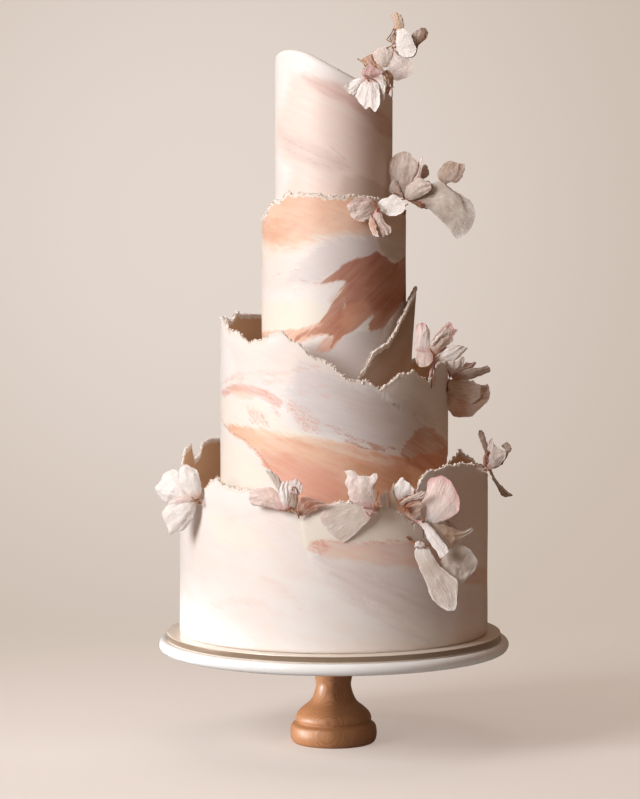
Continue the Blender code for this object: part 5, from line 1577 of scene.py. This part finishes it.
@dataclass
class Stand:
    """The plate, the board on it and the turned wooden foot."""

    steps: int = 192

    @staticmethod
    def foot_profile() -> list[tuple[float, float]]:
        """Gives the foot's outline as (radius, height), smoothed between its turned shapes."""
        top = PLATE_UNDERSIDE - GAP
        knots = [
            (24.0, top / MM), (21.0, 76.0), (18.0, 63.0), (16.4, 55.0), (17.2, 49.0), (19.6, 42.0), (23.0, 37.0),
            (28.0, 33.0), (32.6, 28.8), (34.9, 25.0), (35.5, 21.6), (35.0, 19.4), (36.4, 18.2), (39.2, 16.2), (40.4,
                    12.0),
            (40.6, 7.0),
            (39.4, 2.0), (37.6, 0.0),
        ]
        fine = []
        for index in range(len(knots) - 1):
            before, here = knots[max(index - 1, 0)], knots[index]
            after, beyond = knots[index + 1], knots[min(index + 2, len(knots) - 1)]
            for step in range(6):
                t = step / 6.0
                spot = []
                for axis in (0, 1):
                    a, b, c, d = before[axis], here[axis], after[axis], beyond[axis]
                    spot.append(0.5 * (2 * b + (c - a) * t + (2 * a - 5 * b + 4 * c - d) * t**2
                                       + (3 * b - a - 3 * c + d) * t**3) * MM)
                fine.append(tuple(spot))
        return [(0.0, top), *fine, (37.6 * MM, 0.0), (0.0, 0.0)]

    @staticmethod
    def plate_profile() -> list[tuple[float, float]]:
        """Gives the plate's outline: a shallow well inside a thick rounded rim."""
        half = 0.5 * (PLATE_RIM_TOP - PLATE_UNDERSIDE)
        middle = (PLATE_RADIUS - half, PLATE_UNDERSIDE + half)
        rim = [(middle[0] + half * math.cos(math.radians(turn)), middle[1] + half * math.sin(math.radians(turn)))
               for turn in range(110, -91, -8)]
        return [
            (0.0, PLATE_WELL_FLOOR), (PLATE_WELL_RADIUS - 1.0 * MM, PLATE_WELL_FLOOR),
            (PLATE_WELL_RADIUS - 0.2 * MM, PLATE_WELL_FLOOR + 2.2 * MM), *rim, (0.0, PLATE_UNDERSIDE),
        ]

    @staticmethod
    def board_profile() -> list[tuple[float, float]]:
        """Gives the board's outline: a thick disc with softened edges."""
        soft = 0.8 * MM
        floor = PLATE_WELL_FLOOR + GAP
        edge = [(BOARD_RADIUS - soft + soft * math.sin(math.radians(turn)),
                 BOARD_TOP - soft + soft * math.cos(math.radians(turn))) for turn in range(0, 91, 15)]
        inner = PLATE_WELL_RADIUS - 2.0 * MM
        return [(0.0, BOARD_TOP), *edge, (BOARD_RADIUS, PLATE_RIM_TOP + 0.4 * MM), (inner, floor), (0.0, floor)]

    def turned(self, name: str, profile: Sequence[tuple[float, float]], finish: bpy.types.Material
               ) -> bpy.types.Object:
        """Turns an outline about Z into a closed solid."""
        grid = SheetMesh(name, len(profile), self.steps, True, False)
        turns = np.linspace(0.0, math.tau, self.steps, endpoint=False)
        for row, (radius, height) in enumerate(profile):
            grid.points[row, :, 0] = radius * np.cos(turns)
            grid.points[row, :, 1] = radius * np.sin(turns)
            grid.points[row, :, 2] = height
        return add_piece(name, closed_outward(grid.mesh(), 0.01 * MM), finish, 40.0)

    def build(self, oak: bpy.types.Material, glaze: bpy.types.Material, card: bpy.types.Material) -> None:
        """Builds the three pieces and hands them over."""
        hand_over(self.turned("foot_oak", self.foot_profile(), oak), "turned_wood", "foot")
        hand_over(self.turned("plate_glazed", self.plate_profile(), glaze), "plate_glaze", "plate")
        hand_over(self.turned("cake_board_card", self.board_profile(), card), "board", "cake_board")


def tier_four_paints() -> tuple[Paint, ...]:
    """Gives the colours of the top tier: a blush wash, a rose sweep and mauve streaks."""
    return (
        Paint(Tint.BLUSH, (Patch("292,72 330,84 400,104 404,202 284,204 292,170 276,136 284,104"),
                           Sweep((0, 560), (150, 545), 90)), 1.0, soft=9, ragged=9, streaky=0.3, slope=0.5),
        Paint(Tint.MAUVE, (Patch("278,128 300,138 325,150 343,160 350,168 330,172 305,164 285,150"),
                           Sweep((20, 590), (95, 540), 20), Sweep((120, 600), (168, 570), 16)),
              0.40, soft=4, ragged=7, streaky=0.5, slope=0.55),
        Paint(Tint.ROSE,
                (Patch("298,73 320,79 341,84 357,97 376,108 393,128 398,146 380,134 362,115 345,101 325,95 308,84"),
                          Sweep((60, 560), (150, 520), 9)), 0.62, soft=3.4, ragged=5, streaky=0.45, slope=0.5),
        Paint(Tint.TAUPE, (Patch("344,177 360,177 380,186 396,196 396,206 352,203 338,192"),), 0.55, soft=4,
                ragged=6),
        Paint(Tint.MAUVE, (Patch("283,137 300,147 320,157 341,163", 1.4), Patch("281,145 300,155 318,164 341,169",
                1.2),
                           Patch("330,147 345,158", 1.6), Patch("352,176 372,182 388,192", 1.2)),
              0.50, soft=0.9, ragged=2.5, slope=0.55),
        Paint(Tint.PETAL_BROWN, (Patch("338.5,69 340,69.5", 1.8), Patch("341,71 349,75 356,79", 0.5)), 0.7, soft=0.6,
                ragged=1),
    )


def tier_three_paints() -> tuple[Paint, ...]:
    """Gives the colours of tier 3: a peach head, a lilac middle and the terracotta splash, with painted shade down
    its right edge.
    """
    return (
        Paint(Tint.CREAM, (Patch("255,300 280,302 310,300 332,312 322,328 300,336 255,350"),
                           Patch("255,225 285,228 310,240 300,252 270,262 255,262")), 0.7, soft=5, ragged=8),
        Paint(Tint.BLUSH, (Patch("258,256 300,244 345,240 345,270 322,286 290,292 258,288"),), 0.5, soft=6, ragged=7),
        Paint(Tint.PEACH, (Patch("257,186 410,190 412,232 385,236 350,234 320,238 296,246 276,248 264,244 257,214"),
                           Sweep((0, 492), (150, 498), 34)), 0.88, soft=9, ragged=11, streaky=0.18,
                                   second=Tint.APRICOT),
        Paint(Tint.APRICOT, (Patch("272,190 300,191 345,196 345,206 320,210 300,222 282,216 272,204"),), 0.45,
                soft=9, ragged=11),
        Paint(Tint.LILAC, (Patch("300,262 322,244 345,236 372,237 380,248 376,262 350,266 330,276 305,286 286,282"),),
              0.75, soft=4, ragged=8, streaky=0.25),
        # A taupe patch down the right edge, below the upper blossom: painted shade.
        Paint(Tint.TAUPE, (Patch("378,212 420,210 420,264 398,262 388,258 380,250 377,234"),), 0.75, soft=2.4,
                ragged=4),
        Paint(Tint.LILAC, (Patch("306,346 330,338 352,334 384,328 404,296 414,330 400,352 372,380 345,384 316,362"),),
              0.7, soft=3, ragged=7, streaky=0.2),
        Paint(Tint.APRICOT, (
            Patch("258,334 276,331 292,329 304,328 322,321 340,312 352,322 344,336 334,348 322,352 314,350 322,340 "
                  "336,334 318,336 300,342 280,343 258,352"),), 0.85, soft=1.3, ragged=6, streaky=0.5, slope=-0.9),
        Paint(Tint.TERRACOTTA, (
            Patch("320,284 329,277 343,265 354,259 369,256 376,250 384,256 392,263 399,261 405,256 414,262 412,290 "
                  "402,302 392,317 381,329 370,331 368,324 373,315 364,321 357,329 345,335 337,341 331,347 334,336 "
                  "322,333 308,337 318,327 327,313 332,302 341,290 348,282 341,281 330,282"),
            Patch("296,338 306,333 318,328", 3.0), Sweep((30, 430), (110, 400), 22), Sweep((60, 446), (120, 430), 8)),
            0.92, soft=1.2, ragged=5, streaky=0.14, second=Tint.RUST, slope=-0.95),
        Paint(Tint.RUST, (Patch("372,262 392,266 410,264 410,290 396,306 384,314 370,306 366,284"),), 0.55, soft=4,
              ragged=9, streaky=0.35, slope=-0.95),
        Paint(Tint.APRICOT, (Patch("345,306 366,300 372,312 360,322 346,330 340,322"), Patch("330,300 345,288", 3)),
              0.45, soft=2.5, ragged=7, streaky=0.4, slope=-0.95),
        Paint(Tint.ROSE, (Patch("292,290 310,286 325,280 337,276", 1.0), Patch("300,280 318,283 330,287", 0.8),
                          Patch("272,276 300,270", 1.0)), 0.5, soft=0.8, ragged=3),
        Paint(Tint.PETAL_WHITE, (Patch("340,303 344,299 345,308 341,311", 1.2), Patch("336,296 339,299", 1.0)), 0.5,
              soft=0.6, ragged=3, speckle=0.8),
    )


def tier_two_paints() -> tuple[Paint, ...]:
    """Gives the colours of tier 2: lilac above a broad band of peach, with a salmon curl and mauve lines."""
    return (
        Paint(Tint.BLUSH, (Patch("232,344 290,342 330,366 330,392 290,388 262,384 235,376"),), 0.45, soft=7,
                ragged=8),
        Paint(Tint.CREAM, (Patch("214,398 235,396 258,400 276,412 292,428 312,436 300,440 270,434 240,430 214,428"),
                           Patch("214,436 236,444 256,458 268,476 262,492 214,492")), 0.45, soft=4, ragged=6),
        Paint(Tint.LILAC, (Patch("284,392 300,362 330,372 352,380 380,392 412,400 434,424 420,440 404,450 368,446 "
                                 "338,436 312,432 296,420"), Sweep((20, 336), (110, 306), 24),
                           Sweep((110, 350), (165, 335), 20)), 0.85, soft=8, ragged=14, streaky=0.2),
        Paint(Tint.TAUPE, (Patch("376,390 396,378 420,372 440,360 462,360 462,444 436,432 414,418 396,404"),
                           Patch("330,388 380,396 400,420 380,428 350,412")), 0.30, soft=5, ragged=7),
        Paint(Tint.PEACH, (
            Patch("226,424 240,426 262,429 285,434 312,438 345,443 366,450 388,455 404,458 440,450 462,440 462,520 "
                  "300,520 288,498 276,480 264,464 254,450 242,440 230,433"),
            Sweep((10, 300), (100, 262), 30, bend=4), Sweep((90, 330), (160, 300), 20)),
            0.95, soft=2.2, ragged=5.5, streaky=0.22, second=Tint.APRICOT, slope=0.45),
        Paint(Tint.SALMON, (Patch("262,454 300,462 340,470 345,500 300,512 286,490 272,474"),), 0.85, soft=7,
                ragged=10,
              streaky=0.4, slope=0.45),
        Paint(Tint.TAN, (Patch("345,462 380,468 412,474 410,500 380,500 345,512 350,480"),), 0.75, soft=4, ragged=8,
              streaky=0.4, slope=0.45),
        Paint(Tint.CREAM, (Patch("256,432 300,437 330,447 365,458 392,463", 5.0),
                           Patch("290,432 330,440 350,447 372,456", 2.6)), 0.55, soft=1.8, ragged=5, streaky=0.5,
                                   slope=0.4),
        Paint(Tint.TERRACOTTA,
                (Patch("400,458 402,450 407,441 415,432 424,426 432,428 437,434 444,440 462,448 462,470 "
                                      "430,474 418,469 408,464"),), 0.82, soft=1.8, ragged=6, streaky=0.5, slope=0.7),
        Paint(Tint.LILAC, (Patch("404,452 410,456 413,462", 2.0),), 0.8, soft=0.7, ragged=2),
        Paint(Tint.SALMON, (Patch("221,392 227,386 238,383.5 250,385 262,389 274,395 283,402 280,407 270,402 258,396 "
                                  "246,392 234,392 225,398"), Patch("221,386 226,381 234,378 244,378", 1.4)),
              0.72, soft=1.8, ragged=4.5, streaky=0.65, slope=0.35),
        Paint(Tint.PEACH, (Patch("228,390 236,388 246,391 258,396 250,400 240,398"),), 0.4, soft=2, ragged=4),
        Paint(Tint.SALMON, (Patch("286,398 296,403 308,411 319,420 318,432 304,430 296,420 288,410"),
                            Patch("266,394 276,408 280,420", 4.0), Patch("246,404 262,412 270,424 252,424")),
              0.8, soft=2.2, ragged=10, streaky=0.5, speckle=0.85, slope=0.9),
        Paint(Tint.TERRACOTTA, (Patch("219,410 222,420 227,428 236,435 246,441 256,450 264,460 272,472 284,488",
                2.2),),
              0.6, soft=0.8, ragged=1.5),
        Paint(Tint.ROSE, (Patch("334,432 350,437 364,442 378,447 394,449", 2.2), Patch("346,441 362,447 384,451",
                1.4),
                          Patch("322,424 338,428 352,432", 1.0), Sweep((30, 318), (80, 296), 3.0)),
              0.85, soft=0.7, ragged=3.5, streaky=0.5, second=Tint.TERRACOTTA),
        Paint(Tint.SALMON, (Patch("252,372 282,374 318,366", 3.0), Patch("262,383 290,380 326,388", 2.0),
                            Patch("232,376 256,372", 2.0), Patch("300,392 330,396", 1.4)), 0.28, soft=1.8, ragged=7),
        Paint(Tint.PETAL_BROWN, (Patch("391.5,404 394,404.5", 1.7), Patch("386,403.5 398,402.5", 0.5),
                                 Patch("412,414.5 416,415", 1.0)), 0.75, soft=0.5, ragged=1),
    )


def tier_one_paints() -> tuple[Paint, ...]:
    """Gives the colours of tier 1: nearly white, with a peach band that starts at the front and a painted warm shade
    down its right side.
    """
    return (
        Paint(Tint.BLUSH, (Patch("200,498 250,492 285,505 296,530 310,560 300,600 240,620 205,600 190,560"),
                           Patch("330,560 420,560 480,600 480,620 400,620 340,600")), 0.28, soft=14, ragged=10),
        Paint(Tint.CREAM, (Patch("296,514 312,505 345,500 380,505 404,514 420,530 420,544 380,544 345,543 318,542 "
                                 "306,552 300,540"),), 0.60, soft=1.6, ragged=3.5, streaky=0.2),
        Paint(Tint.SHEER, (Patch("350,532 372,515 402,512 418,528 416,542 380,543 352,542"),), 0.35, soft=2,
                ragged=3),
        Paint(Tint.SALMON,
                (Patch("311,541 330,540 345,541.5 372,543 400,541 430,540 448,556 470,566 500,574 500,590 460,584 "
                                  "430,575 400,566 370,562 340,560 320,556"), Sweep((10, 200), (100, 160), 30,
                                          bend=4),
                            Sweep((100, 230), (168, 200), 18)), 0.60, soft=3.2, ragged=5.5, streaky=0.4, slope=0.3,
              second=Tint.PEACH),
        Paint(Tint.SALMON, (Patch("309,543 322,539 330,541 328,550 318,554 308,550"),
                Patch("330,541 360,543 400,541", 1.6)),
              0.95, soft=1.8, ragged=6, speckle=0.7),
        Paint(Tint.LILAC, (Patch("316,558 345,560 400,568 452,584 500,600 500,625 420,620 372,610 340,596"),), 0.40,
              soft=8, ragged=10, streaky=0.25, slope=0.5),
        Paint(Tint.MAUVE, (Patch("318,557 345,570 380,586 415,602 440,616", 3.0), Patch("332,572 366,592 400,612",
                2.4),
                           Patch("360,572 400,588 440,602", 1.8), Patch("352,600 400,630 430,642", 2.0),
                           Sweep((40, 170), (120, 130), 8)), 0.34, soft=3.2, ragged=6, streaky=0.5, slope=0.5),
        # A soft tan patch down the right side: painted warm shade.
        Paint(Tint.TAN, (Patch("440,470 500,470 510,560 510,650 455,650 462,600 452,560 446,520"),), 0.34, soft=16,
              ragged=8, streaky=0.2, slope=0.5),
        Paint(Tint.SALMON, (Patch("214,606 240,600 262,604", 5), Patch("262,575 285,590 300,606", 6),
                            Patch("228,520 260,514 285,524", 5)), 0.16, soft=3, ragged=10, speckle=0.4),
        Paint(Tint.CREAM, (Patch("206,515 240,520 276,545 250,552 216,540"),), 0.45, soft=5, ragged=8),
        Paint(Tint.PETAL_WHITE, (Patch("362,596 372,600 388,608 392,614 380,612 368,606"), Patch("376,578 384,574",
                2),
                                 Patch("301,520 304,540 311,556 318,566", 1.6), Patch("406,622 416,628", 4)),
              0.5, soft=0.8, ragged=4, speckle=1.0),
    )


class Kitchen:
    """Builds the tiers with their sheets, ledges and crumbs."""

    def __init__(self, shared: Shared, nodes: dict[str, bpy.types.Object]) -> None:
        """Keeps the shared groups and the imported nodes."""
        self.shared, self.nodes = shared, nodes
        self.crumbs = crumb_tree()
        self.crumb_finish = Plain("torn_crumb", Tint.CRUMB, Tint.SUGAR_WARM, 0.75, 700.0).material(shared)

    def wraps(self) -> None:
        """Builds the three torn sheets and their crumbs."""
        floors = (BOARD_TOP + GAP, LEDGES[0] + GAP, LEDGES[1] + GAP)
        wraps = (
            (Wrap("tier_1_wrap", TIER_RADII[0], floors[0], TIER_1_RIM, 1, "fondant_low", 860, overlaps=(
                Overlap(((-102.5, 226), (-101, 213), (-100, 199), (-98, 185), (-92, 165)), 0.28, upright=True),)),
             Fondant("fondant_tier_1", tier_one_paints())),
            (Wrap("tier_2_wrap", TIER_RADII[1], floors[1], TIER_2_RIM, 2, "fondant_middle", 760, overlaps=(
                Overlap(((-68, 336), (-60, 320), (-45, 310), (-23, 283), (10, 262)), 0.9),)),
             Fondant("fondant_tier_2", tier_two_paints(), slope=0.35)),
            (Wrap("tier_3_wrap", TIER_RADII[2], floors[2], TIER_3_RIM, 3, "fondant_upper", 560),
             Fondant("fondant_tier_3", tier_three_paints(), slope=-0.3)),
        )
        for wrap, finish in wraps:
            piece = wrap.build(finish, self.shared)
            hand_over(piece, wrap.slot, wrap.node)
            self.strew(wrap.node, wrap.crumb_line, wrap.seed, wrap.slot, True)

    def strew(self, name: str, line: Sequence[Vector], seed: int, slot: str, closed: bool) -> None:
        """Strews crumbs along a torn edge."""
        values = {"Spacing": 0.66 * MM, "Size": 0.95 * MM, "Scatter": 1.6 * MM, "Seed": seed}
        mesh = line_mesh(name + "_edge", [line], closed)
        piece = grown(name + "_crumbs", self.crumbs, mesh, values, self.crumb_finish)
        hand_over(piece, slot)

    def flap(self) -> None:
        """Builds the flap and its crumbs."""
        finish = Fondant("fondant_flap", (
            Paint(Tint.MAUVE, (Sweep((-60, 345), (-20, 380), 12), Sweep((-50, 335), (10, 350), 10)), 0.4, soft=5,
                  slope=-0.8),
            Paint(Tint.TAUPE, (Patch("365,376 372,360 382,346", 1.0), Patch("378,372 386,352 396,336", 0.8)), 0.6,
                  soft=0.8, ragged=2, slope=-0.8),
        ), ground=Tint.FLAP, ground_second=Tint.FLAP_SECOND, slope=-0.8, reach=4.5)
        flap = TornFlap()
        hand_over(flap.build(finish, self.shared), "fondant_flap", "tier_3_flap")
        self.strew("tier_3_flap", flap.crumb_line, 31, "fondant_flap", False)

    def crown(self) -> None:
        """Builds the top tier."""
        finish = Fondant("fondant_tier_4", tier_four_paints(), slope=0.45)
        hand_over(CrownTier().build(finish, self.shared), "fondant_top", "tier_4")

    def ledges(self) -> None:
        """Finishes the cakes inside the sheets, of which only the ledges show."""
        icing = Plain("ledge_icing", Tint.LEDGE, Tint.SUGAR_WARM, 0.62, 60.0, 0.0006).material(self.shared)
        for number in (1, 2, 3):
            node = self.nodes[f"tier_{number}_cake"]
            node.data.materials.clear()
            node.data.materials.append(icing)


class Studio:
    """The plain floor, the soft lights and the camera."""

    def floor(self) -> None:
        """Lays a pale round floor that fades out into the background, with an even glow seen only by the camera as a
        painted fill light that lifts its shadow.
        """
        work = bmesh.new()
        bmesh.ops.create_circle(work, cap_ends=True, segments=96, radius=1.6)
        mesh = bpy.data.meshes.new("floor")
        work.to_mesh(mesh)
        work.free()
        made, w, shader = new_material("floor_paper", 0.85)
        shader.inputs["Specular IOR Level"].default_value = 0.1
        place = w.node("ShaderNodeTexCoord").outputs["Object"]
        away = w.node("ShaderNodeVectorMath", {0: place}, operation="LENGTH").outputs["Value"]
        w.tree.links.new(w.ramp(away, 0.25, 1.0, 1.0, 0.0), shader.inputs["Alpha"])
        shader.inputs["Base Color"].default_value = (0.47, 0.46, 0.45, 1.0)
        # An even glow for camera rays only: painted fill light that lifts the floor's shadow.
        seen = w.node("ShaderNodeLightPath").outputs["Is Camera Ray"]
        glow = w.blend(seen, (0.0, 0.0, 0.0, 1.0), (0.385, 0.315, 0.275, 1.0))
        w.tree.links.new(glow, shader.inputs["Emission Color"])
        shader.inputs["Emission Strength"].default_value = 1.0
        floor = bpy.data.objects.new("floor", mesh)
        mesh.materials.append(made)
        bpy.context.scene.collection.objects.link(floor)
        floor.location.z = -0.0002

    def light(self, name: str, place: tuple, aim: tuple, size: float, power: float, colour: tuple,
            spread: float = 180.0
              ) -> None:
        """Hangs a soft square light."""
        lamp = bpy.data.lights.new(name, "AREA")
        lamp.shape, lamp.size, lamp.energy, lamp.color = "SQUARE", size, power, colour
        lamp.spread = math.radians(spread)
        made = bpy.data.objects.new(name, lamp)
        made.location = place
        made.rotation_euler = (Vector(aim) - Vector(place)).to_track_quat("-Z", "Y").to_euler()
        bpy.context.scene.collection.objects.link(made)

    def lights(self) -> None:
        """Hangs the lights and sets the background."""
        self.light("key", (-1.66, -1.36, 1.22), (0.0, 0.0, 0.33), 1.1, 57.0, (1.0, 0.99, 0.985))
        self.light("low", (-1.45, -0.12, 0.075), (0.0, -0.03, 0.047), 0.10, 0.080, (1.0, 0.99, 0.98), 7.0)
        self.light("top", (-0.3, 0.1, 2.2), (0.0, 0.0, 0.3), 1.4, 9.0, (1.0, 0.93, 0.88))
        world = bpy.data.worlds.new("background")
        world.use_nodes = True
        w = Wiring(world.node_tree)
        # Seen by the camera, the backdrop is brighter round a spot behind the cake and darker away from it: a painted
        # pool of light.
        way = w.node("ShaderNodeTexCoord").outputs["Generated"]
        from_glow = w.vector("SUBTRACT", way, (-0.054, 1.0, 0.037))
        away = w.node("ShaderNodeVectorMath", {0: from_glow}, operation="LENGTH").outputs["Value"]
        wall = w.blend(w.ramp(away, 0.02, 0.26), (0.776, 0.680, 0.617, 1.0), (0.597, 0.503, 0.429, 1.0))
        shown = world.node_tree.nodes["Background"]
        w.tree.links.new(wall, shown.inputs["Color"])
        shown.inputs["Strength"].default_value = 1.0
        lit = w.node("ShaderNodeBackground", {"Color": (1.0, 0.62, 0.40, 1.0), "Strength": 0.17})
        path = w.node("ShaderNodeLightPath").outputs["Is Camera Ray"]
        mixed = w.node("ShaderNodeMixShader", {0: path, 1: lit.outputs[0], 2: shown.outputs[0]}).outputs[0]
        output = world.node_tree.nodes["World Output"]
        w.tree.links.new(mixed, output.inputs["Surface"])
        bpy.context.scene.world = world
        bpy.context.scene.view_settings.view_transform = "Standard"

    def camera(self) -> None:
        """Places the camera as the photograph has it."""
        lens = bpy.data.cameras.new("camera")
        lens.lens, lens.sensor_width = 99.4, 36.0
        made = bpy.data.objects.new("camera", lens)
        made.location = Sight.eye
        made.rotation_euler = (math.radians(90.0) - Sight.pitch, 0.0, 0.0)
        bpy.context.scene.collection.objects.link(made)
        bpy.context.scene.camera = made


def main() -> None:
    """Builds every piece in order."""
    logging.basicConfig(level=logging.INFO, format="%(message)s")
    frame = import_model()
    studio = Studio()
    studio.camera()
    studio.lights()
    studio.floor()
    shared = Shared()
    kitchen = Kitchen(shared, frame["nodes"])
    kitchen.wraps()
    kitchen.flap()
    kitchen.crown()
    kitchen.ledges()
    Stand().build(
        TurnedOak().material(shared),
        Gloss("plate_glaze", Tint.GLAZE, 0.22, 0.6).material(shared),
        Gloss("board_foil", Tint.BOARD, 0.30, 0.3, metallic=0.2, edge=Tint.BOARD_PAINTED_HIGHLIGHT).material(shared),
    )
    florist = Florist(
        PetalPaper().material(shared),
        Plain("stem_bark", Tint.NODE, Tint.TWIG, 0.6, 300.0).material(shared),
        tuft_tree(),
    )
    for number, flower in enumerate(BLOSSOMS):
        florist.blossom(flower, number)
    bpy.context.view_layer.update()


if __name__ == "__main__":
    main()
